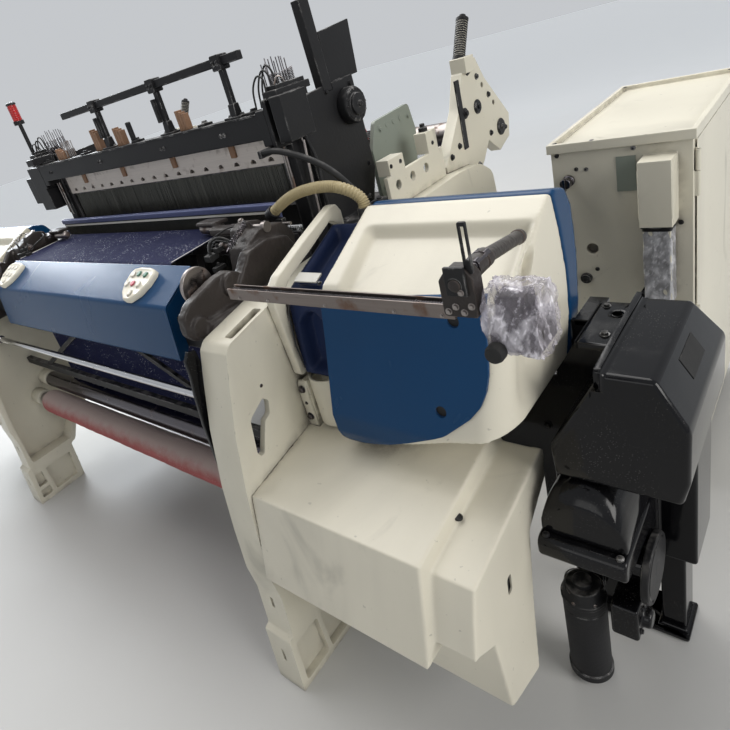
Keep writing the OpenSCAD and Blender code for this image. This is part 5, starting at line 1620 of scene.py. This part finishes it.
# %% Back rest and warp beam
body = body_of("backrest_roller")
reskinned("backrest_roller", "worn_steel", 0.001)
arms = body_of("backrest_arms")
reskinned("backrest_arms", "cream_paint", 0.0018)
iron = Shape()
for hand in (-1, 1):
    foot = Vector((hand * 789, 1888, 1280))
    up = Vector((0, math.sin(math.radians(30)), math.cos(math.radians(30))))
    turns = [(12, 7)]
    for k in range(16):
        wire = ((-3.7, 17.7), (-2.6, 19.6), (0, 20.6), (2.6, 19.6), (3.7, 17.7))
        turns += [(17 + 7.6 * k + d, r) for d, r in wire]
    iron.lathe(foot, foot + up, turns + [(136, 7)], 28)
    iron.lathe(foot - up * 2, foot + up, [(0, 21), (15, 21), (17, 15)], 24)
    nut = [(0, 15), (1, 21), (9, 21), (9, 11), (19.5, 11), (20, 7)]
    iron.lathe(foot + up * 132, foot + up * 134, nut, 24)
    low, high = sorted((hand * 810.4, hand * 815.6))
    iron.block((low, 1789, 1009), (high, 1817, 1231))
    for y, z in ((1890, 1240), (1950, 1215), (2020, 1140), (1700, 1010), (1880, 930), (1760, 1030),
                 (2000, 1010), (2120, 1000), (1870, 1262), (1905, 1262)):
        iron.bolt((hand * 811, y, z), (hand, 0, 0), 8)
    for y, z, radius in ((2085, 1010, 30), (1925, 1120, 24), (1830, 1120, 18)):
        hub = [(0, radius), (6, radius), (7, radius - 4), (9, radius - 4), (9, 9), (14, 9), (15, 6)]
        iron.lathe((hand * 809, y, z), (hand * 821, y, z), hub, 28)
for y in (1350, 1400, 1590):
    iron.bolt((811, y, 1090), (1, 0, 0), 7)
iron.lathe((790, 1590, 1128), (790, 1590, 1150), [(0, 14), (12, 14), (13, 8), (24, 8)], 24)
iron.piece("backrest_fittings", arms, "black_paint", bevel=0.0006)

body = body_of("warp_beam")
reskinned("warp_beam", "worn_steel", 0.0015)
layers = [(0, 200)] + [(1 + 6.6 * k, 225.5 + (0.6 if k % 2 else 0)) for k in range(200)] + [(1319, 200)]
wound = Shape().lathe((-659.5, 1790, 480), (659, 1790, 480), layers, 72)
wound.piece("wound_warp", body, "navy_yarn", "navy_cloth", limit=60)
print("warp side ready")

# %% [markdown]
# ## The bar in front of the housing
# A steel channel with a toothed strip reaches along the front. It hangs on a swivel head at the end of
# a bent tube. The sensor beside that head is wrapped in clear film to keep lint out.

# %% Feeler bar and its bracket
body = body_of("feeler_bar")
channel = [(612, 1048), (634, 1048), (634, 1071), (631, 1071), (631, 1057), (615, 1057), (615, 1071),
           (612, 1071)]
rail = Shape().prism("x", 900, 492, channel)
rail.piece("feeler_rail", body, "rusty_bar", "worn_steel", ["feeler_bar"], 0.0006)
tooth = Shape().block((904, 616.5, 1056.5), (906.2, 629.5, 1067))
teeth = row(tooth, 106, (4.5, 0, 0), "dark_steel", (0.2, 0, 0.4), (0, 0, 0.02), 8)
rows_piece([teeth], "feeler_teeth", body, "dark_steel")
head_line = [(1378, 1054), (1430, 1054), (1430, 1112), (1420, 1126), (1392, 1126), (1378, 1108)]
head = Shape().prism("y", 610, 26, fillet(head_line, 6))
hub = Shape().rod((1404, 600, 1104), (1404, 650, 1104), 9.4, 32)
dressed(cut(solid(head), hub), "feeler_head", body, "oily_iron", bevel=0.0012, limit=40)
lug = Shape().prism("y", 614, 5, round_box(1418, 1118, 1430, 1190, 3))
slot = Shape().block((1420.8, 608, 1138), (1427.2, 626, 1184))
dressed(cut(solid(lug), slot), "feeler_lug", body, "black_paint", bevel=0.0008, limit=40)
plate = Shape().prism("y", 606, 5, round_box(1390, 1088, 1421, 1130, 2))
bore = Shape().rod((1404, 600, 1104), (1404, 620, 1104), 9.4, 32)
dressed(cut(solid(plate), bore), "feeler_plate", body, "black_paint", bevel=0.0008, limit=40)
screws = Shape().bolt((1412, 606, 1094), (0, -1, 0), 3.6)
for x, z in ((1386, 1062), (1398, 1070), (1410, 1062), (1422, 1072)):
    screws.bolt((x, 610, z), (0, -1, 0), 4)
for x in (930, 1010, 1150, 1290, 1372):
    screws.bolt((x, 612, 1052.5), (0, -1, 0), 2.6)
screws.piece("feeler_screws", body, "worn_steel", bevel=0.0004)

body = body_of("bar_bracket")
bend = [(1384, 866, 1067.8), (1389, 822, 1077.5), (1396, 764, 1090), (1404, 702, 1104)]
tube = Shape().tube(smooth_path(bend), 11.5, 28)
tube.lathe((1384, 863, 1068.5), (1386.4, 843, 1073), [(0, 13), (10, 13), (11, 11.6)], 28)
collars = [(0, 12), (1, 15), (14, 15), (15, 13), (19, 13), (20, 15), (46, 15), (47, 12)]
tube.lathe((1404, 702, 1104), (1404, 655, 1104), collars, 32)
tube.lathe((1404, 656, 1104), (1404, 604, 1104), [(0, 9), (51, 9), (52, 7.5)], 32)
tube.piece("bracket_tube", body, "oily_iron", nodes=["bar_bracket"], limit=50)
clamp = Shape()
jaw = [(1386, 1098), (1386, 1110), (1396, 1118), (1412, 1118), (1418, 1106), (1414, 1092), (1398, 1090)]
for y in (694, 664):
    clamp.prism("y", y - 7, 14, fillet(jaw, 3))
    clamp.bolt((1386, y, 1104), (-1, 0, 0), 4.5)
clamp.rod((1412, 656, 1112), (1412, 700, 1112), 4)
clamp.bolt((1412, 656, 1112), (0, -1, 0), 5)
clamp.piece("bracket_clamps", body, "dark_steel", bevel=0.0008)

# %% [markdown]
# Crumpled film is a closed skin with many sharp little folds. The wrapped box is rounded by
# `moulded`, and a ridged noise that is stretched along the slanting pull lines pushes the skin in.

# %% Wrapped sensor
body = body_of("wrapped_sensor")
bag_line = [(605, 1001), (603, 1060), (617, 1096), (663, 1098), (683, 1070), (683, 1001), (650, 986)]
bag = Shape().prism("x", 1432, 80, fillet(bag_line, 9))
PULL = Vector((0.35, 0.2, -0.92)).normalized()


def crumple(p, normal):
    along = p.dot(PULL)
    side = p - PULL * along
    fine = noise.noise(Vector((side.x * 0.10, side.y * 0.10, side.z * 0.10 + along * 0.022)))
    large = noise.noise(p * 0.028)
    edge = noise.noise(Vector((side.x * 0.26, side.y * 0.26, side.z * 0.26 + along * 0.05)))
    return normal * (-9.0 * abs(fine) - 6.0 * max(0.0, large) - 3.0 * abs(edge))


skin = moulded(solid(bag), 1.7, crumple, 1)
dressed(skin, "film_wrap", body, "clear_film", nodes=["wrapped_sensor"], limit=70)
box = Shape().prism("x", 1440, 66, round_box(612, 1004, 676, 1050, 4))
box.prism("x", 1448, 40, fillet([(618, 1050), (668, 1050), (660, 1082), (626, 1082)], 5))
box.piece("sensor_box", body, "oily_iron", "dark_steel", bevel=0.0015)
profile = [(0, 11), (4, 14), (14, 14), (16, 12), (19, 12), (20, 10)]
knob = Shape().lathe((1450, 612, 1008), (1450, 592, 1008), profile, 28)
knob.piece("sensor_knob", body, "rubber", "black_button", limit=50)
print("bar, bracket and wrapped sensor ready")

# %% [markdown]
# ## Shedding unit and cabinet
# The shedding unit is black enamel with thick, soft edges. The hood and the box keep the shape of the
# construction model. The gear hump in front of the hood, the panel behind it, and the bolts are new.

# %% Shedding unit
body = body_of("dobby_case")
reskinned("dobby_case", "gloss_black", 0.007, 30, 4)
hump_line = [(1397, 504)] + [(1474 - 77 * math.cos(a), 504 + 118 * math.sin(a) ** 0.8)
                             for a in [math.pi * k / 18 for k in range(1, 18)]] + [(1551, 504)]
hump = Shape().prism("y", 758, 210, hump_line)


def rounded_front(p, normal):
    back = max(0.0, 800 - p.y) / 42
    return (0, 0, -34 * back * back * max(0.0, (p.z - 504) / 118))


dressed(moulded(solid(hump), 4.0, rounded_front, 3), "dobby_hump", body, "gloss_black", limit=60)
panel_line = [(1304, 330), (1500, 330), (1500, 836), (1402, 836), (1402, 790), (1362, 790), (1362, 700),
              (1090, 700), (1090, 470), (1304, 470)]
panel = Shape().prism("y", 1000, 12, panel_line)
panel.block((1408, 1000, 824), (1446, 1100, 838))
for x in (1330, 1380):
    panel.bolt((x, 1000, 560), (0, -1, 0), 8)
panel.piece("dobby_panel", body, "gloss_black", bevel=0.002)
studs = Shape()
for x, y in ((1410, 750), (1540, 750), (1410, 940), (1545, 940)):
    studs.lathe((x, y, 502), (x, y, 510), [(0, 7), (4, 7), (5, 5), (6, 5)], 20)
for x, y in ((1420, 1030), (1560, 1030), (1420, 1080), (1560, 1080)):
    studs.bolt((x, y, 14), (0, 0, 1), 9)
for y, z in ((818, 228), (912, 228), (818, 284), (912, 284)):
    studs.bolt((1548, y, z), (1, 0, 0), 5)
studs.piece("dobby_bolts", body, "black_paint", "dark_steel", bevel=0.0005)

body = body_of("dobby_cover")
reskinned("dobby_cover", "gloss_black", 0.009, 30, 4)
trim = Shape()
slope = Vector((48, 0, -80)).normalized()
face = Vector((80, 0, 48)).normalized()
middle = Vector((1614, 0, 819))
a, b = (middle + slope * s + face * 1.5 for s in (-20, 20))
trim.add([(a.x, 900, a.z), (a.x, 990, a.z), (b.x, 990, b.z), (b.x, 900, b.z),
          (a.x - 3, 900, a.z - 2), (a.x - 3, 990, a.z - 2), (b.x - 3, 990, b.z - 2), (b.x - 3, 900, b.z - 2)],
         [(0, 1, 2, 3), (7, 6, 5, 4), (0, 4, 5, 1), (1, 5, 6, 2), (2, 6, 7, 3), (3, 7, 4, 0)])
trim.piece("hood_plate", body, "rubber", "gloss_black", bevel=0.0008)
ears = Shape().bolt((1482, 940, 846), (0, 0, 1), 7)
ears.bolt((1456, 1046, 846), (0, 0, 1), 6)
ears.piece("hood_bolts", body, "black_paint", "dark_steel", bevel=0.0005)

body = body_of("drive_motor")
axis = Vector((1434, 834, 0))
rings = [(0, 30), (14, 30), (14, 46), (16, 47), (32, 47), (34, 44), (228, 44), (229, 43), (233, 43),
         (234, 44), (252, 44), (254, 46), (262, 46), (266, 42), (286, 38), (290, 34), (290, 20),
         (299, 20), (300, 18)]
motor = Shape().lathe(axis, axis + Vector((0, 0, 1)), rings, 48)
motor.piece("motor_shell", body, "black_paint", nodes=["drive_motor"], bevel=0.0006)
screws = Shape()
for k in range(6):
    turn = math.radians(60 * k + 20)
    screws.bolt((1434 + 39 * math.cos(turn), 834 + 39 * math.sin(turn), 266), (0, 0, 1), 4)
wire_ring = []
for k in range(34):
    turn = math.pi * k / 24
    reach = 37 + 3 * math.sin(3 * turn)
    wire_ring.append((1434 + reach * math.cos(turn), 834 + reach * math.sin(turn), 287))
screws.tube(wire_ring, 1.5, 6)
screws.piece("motor_screws", body, "worn_steel", "dark_steel", limit=50)

body = body_of("handwheel")
hand = Vector((1554, 865, 372))
rim = [(0, 18), (55, 18), (56, 66), (57, 71), (60, 72), (69, 72), (71, 70), (72, 62), (68, 60), (65, 56),
       (64, 24), (66, 18), (71, 17), (72, 14)]
wheel = Shape().lathe(hand - Vector((55, 0, 0)), hand, rim, 64)
wheel.piece("handwheel_rim", body, "black_paint", "gloss_black", ["handwheel"], 0.0008, 30)
print("shedding unit ready")

# %% [markdown]
# The cabinet is folded sheet: a tray-like top, a door on pin hinges, dark screws and a cast cable box.
# Film is wrapped round the duct below the box. The plate on the front stays blank.

# %% Cabinet
body = body_of("cabinet_body")
reskinned("cabinet_body", "cream_paint", 0.002)
reskinned("cabinet_door", "cream_paint", 0.0015)
cover = Shape()
outline = [(1498, 850), (1498, 1008), (1470, 1008), (1440, 990), (1438, 872), (1452, 850)]
cover.prism("x", 1418, 74, fillet(outline, [0, 2, 14, 16, 8, 4]))
cover.piece("cable_cover", body, "cream_paint", bevel=0.004, limit=30, steps=3)
collar = Shape().prism("z", 836, 15, round_box(1422, 1448, 1486, 1497, 8))
for z in (846, 852):
    collar.tube([(1421, 1447, z), (1487, 1447, z)], 1.6, 8)
for x in (1266, 1290, 1410):
    collar.bolt((x, 1500, 990 - (x - 1266) * 0.1), (0, -1, 0), 4)
gland = [(0, 15), (8, 15), (9, 12), (13, 12), (13, 8), (12, 7.5), (14, 5)]
collar.lathe((1270, 1500, 684), (1270, 1486, 684), gland, 28)
for x, z in ((1222, 1030), (1222, 800), (1400, 1030), (1300, 712), (1496, 840)):
    collar.bolt((x, 1496.4, z), (0, -1, 0), 4.4)
for x, y in ((1216, 1506), (1308, 1498), (1216, 2160), (1500, 2160)):
    collar.bolt((x, y, 1060), (0, 0, 1), 4, 1)
collar.piece("cabinet_screws", body, "black_paint", "dark_steel", bevel=0.0006)
plate = Shape().prism("y", 1497.6, 2.6, round_box(1360, 925, 1404, 1012, 2))
plate.piece("blank_plate", body, "grey_plate", "cream_paint", bevel=0.0005)
sleeve = Shape().prism("z", 642, 196, round_box(1421, 1447, 1487, 1497, 9))


def hanging_folds(p, normal):
    pull = noise.noise(Vector((p.x * 0.06, p.y * 0.06, p.z * 0.014)))
    fold = noise.noise(Vector((p.x * 0.03 + p.z * 0.03, p.y * 0.05, p.z * 0.02)))
    return normal * (-2.6 * abs(pull) - 3.0 * abs(fold) if p.y < 1492 else 0.0)


dressed(moulded(solid(sleeve), 2.2, hanging_folds, 1), "duct_film", body, "duct_film", limit=70)
body = body_of("cabinet_knob")
profile = [(0, 9), (22, 9), (22.5, 15), (30, 15), (31, 12), (44, 12), (45, 14), (54, 14), (56, 11)]
lock = Shape().lathe((1246, 1522, 962), (1246, 1456, 962), profile, 32)
lock.block((1242, 1456, 946), (1250, 1470, 978))
lock.piece("cabinet_lock", body, "dark_steel", "black_button", ["cabinet_knob"], 0.001, 40)
print("cabinet ready")

# %% [markdown]
# ## Parts that only need rounded edges
# A few castings and boxes already have their right shape in the construction model. Their triangles
# are joined, the edges get a radius that fits the part, and each gets its finish.

# %% Rounded copies
reskinned("breast_beam", "black_paint", 0.0015)
reskinned("rear_beam", "black_paint", 0.002)
reskinned("rapier_wheel_right", "worn_steel", 0.001)
reskinned("rapier_wheel_left", "worn_steel", 0.001)
reskinned("front_lever", "gloss_black", 0.002)
print("rounded copies ready")

# %% [markdown]
# ## Light and floor
# A weaving hall is lit from long windows and tubes. A large soft panel hangs overhead. A bright window
# panel on the left gives the blue cover its long highlight, and weaker ones light the front and the
# right side.

# %% Studio
def soft_light(name, at, aim, width, height, power, color):
    light = bpy.data.lights.new(name, "AREA")
    light.shape = "RECTANGLE"
    light.size = width
    light.size_y = height
    light.energy = power
    light.color = color
    made = placed(name, light)
    made.location = at
    made.rotation_euler = (Vector(aim) - Vector(at)).to_track_quat("-Z", "Y").to_euler()
    made.visible_camera = False


soft_light("overhead", (-0.9, 0.9, 4.2), (0.0, 0.0, 0.5), 5.0, 4.0, 235, (1.0, 0.985, 0.965))
soft_light("window", (-5.6, 1.0, 3.1), (-0.5, -0.4, 0.9), 2.6, 1.6, 230, (0.90, 0.95, 1.0))
soft_light("front", (1.2, -5.2, 2.4), (0.2, 0.0, 0.7), 3.6, 2.0, 30, (1.0, 0.985, 0.96))
soft_light("right", (5.4, -0.6, 2.6), (0.6, 0.0, 0.8), 2.6, 2.0, 125, (1.0, 0.98, 0.95))

world = bpy.data.worlds.new("hall")
bpy.context.scene.world = world
world.use_nodes = True
hall = Net(world.node_tree)
sees = hall.node("ShaderNodeLightPath")
mirrored_ray = hall.node("ShaderNodeLightPath", out=3)
through_ray = hall.node("ShaderNodeLightPath", out=6)
strength = sees.most(mirrored_ray).most(through_ray) * 0.40 + 0.20
background = world.node_tree.nodes["Background"]
background.inputs["Color"].default_value = (0.93, 0.96, 1.0, 1.0)
world.node_tree.links.new(strength.socket, background.inputs["Strength"])

floor_mesh = bpy.data.meshes.new("floor")
floor_mesh.from_pydata([(-30, -30, 0), (30, -30, 0), (30, 30, 0), (-30, 30, 0)], [], [(0, 1, 2, 3)])
floor = placed("floor", floor_mesh)
concrete = Finish("pale_floor", (0.56, 0.56, 0.55), 0.55)
soft = concrete.grain(0.9, 4)
tint = concrete.mix(rgba((0.53, 0.53, 0.52)), rgba((0.58, 0.58, 0.57)), soft)
away = concrete.node("ShaderNodeVectorMath", {"operation": "LENGTH"}, {0: concrete.place}, out=1)
glow = concrete.mix(rgba((0, 0, 0)), rgba((0.40, 0.42, 0.44)), concrete.between(away, 1.5, 7.5))
concrete.shader.inputs["Emission Strength"].default_value = 1.0
concrete.set(Base_Color=tint, Roughness=0.45 + concrete.grain(3, 3) * 0.2, Emission_Color=glow)
floor_mesh.materials.append(concrete.material)
print("studio ready")
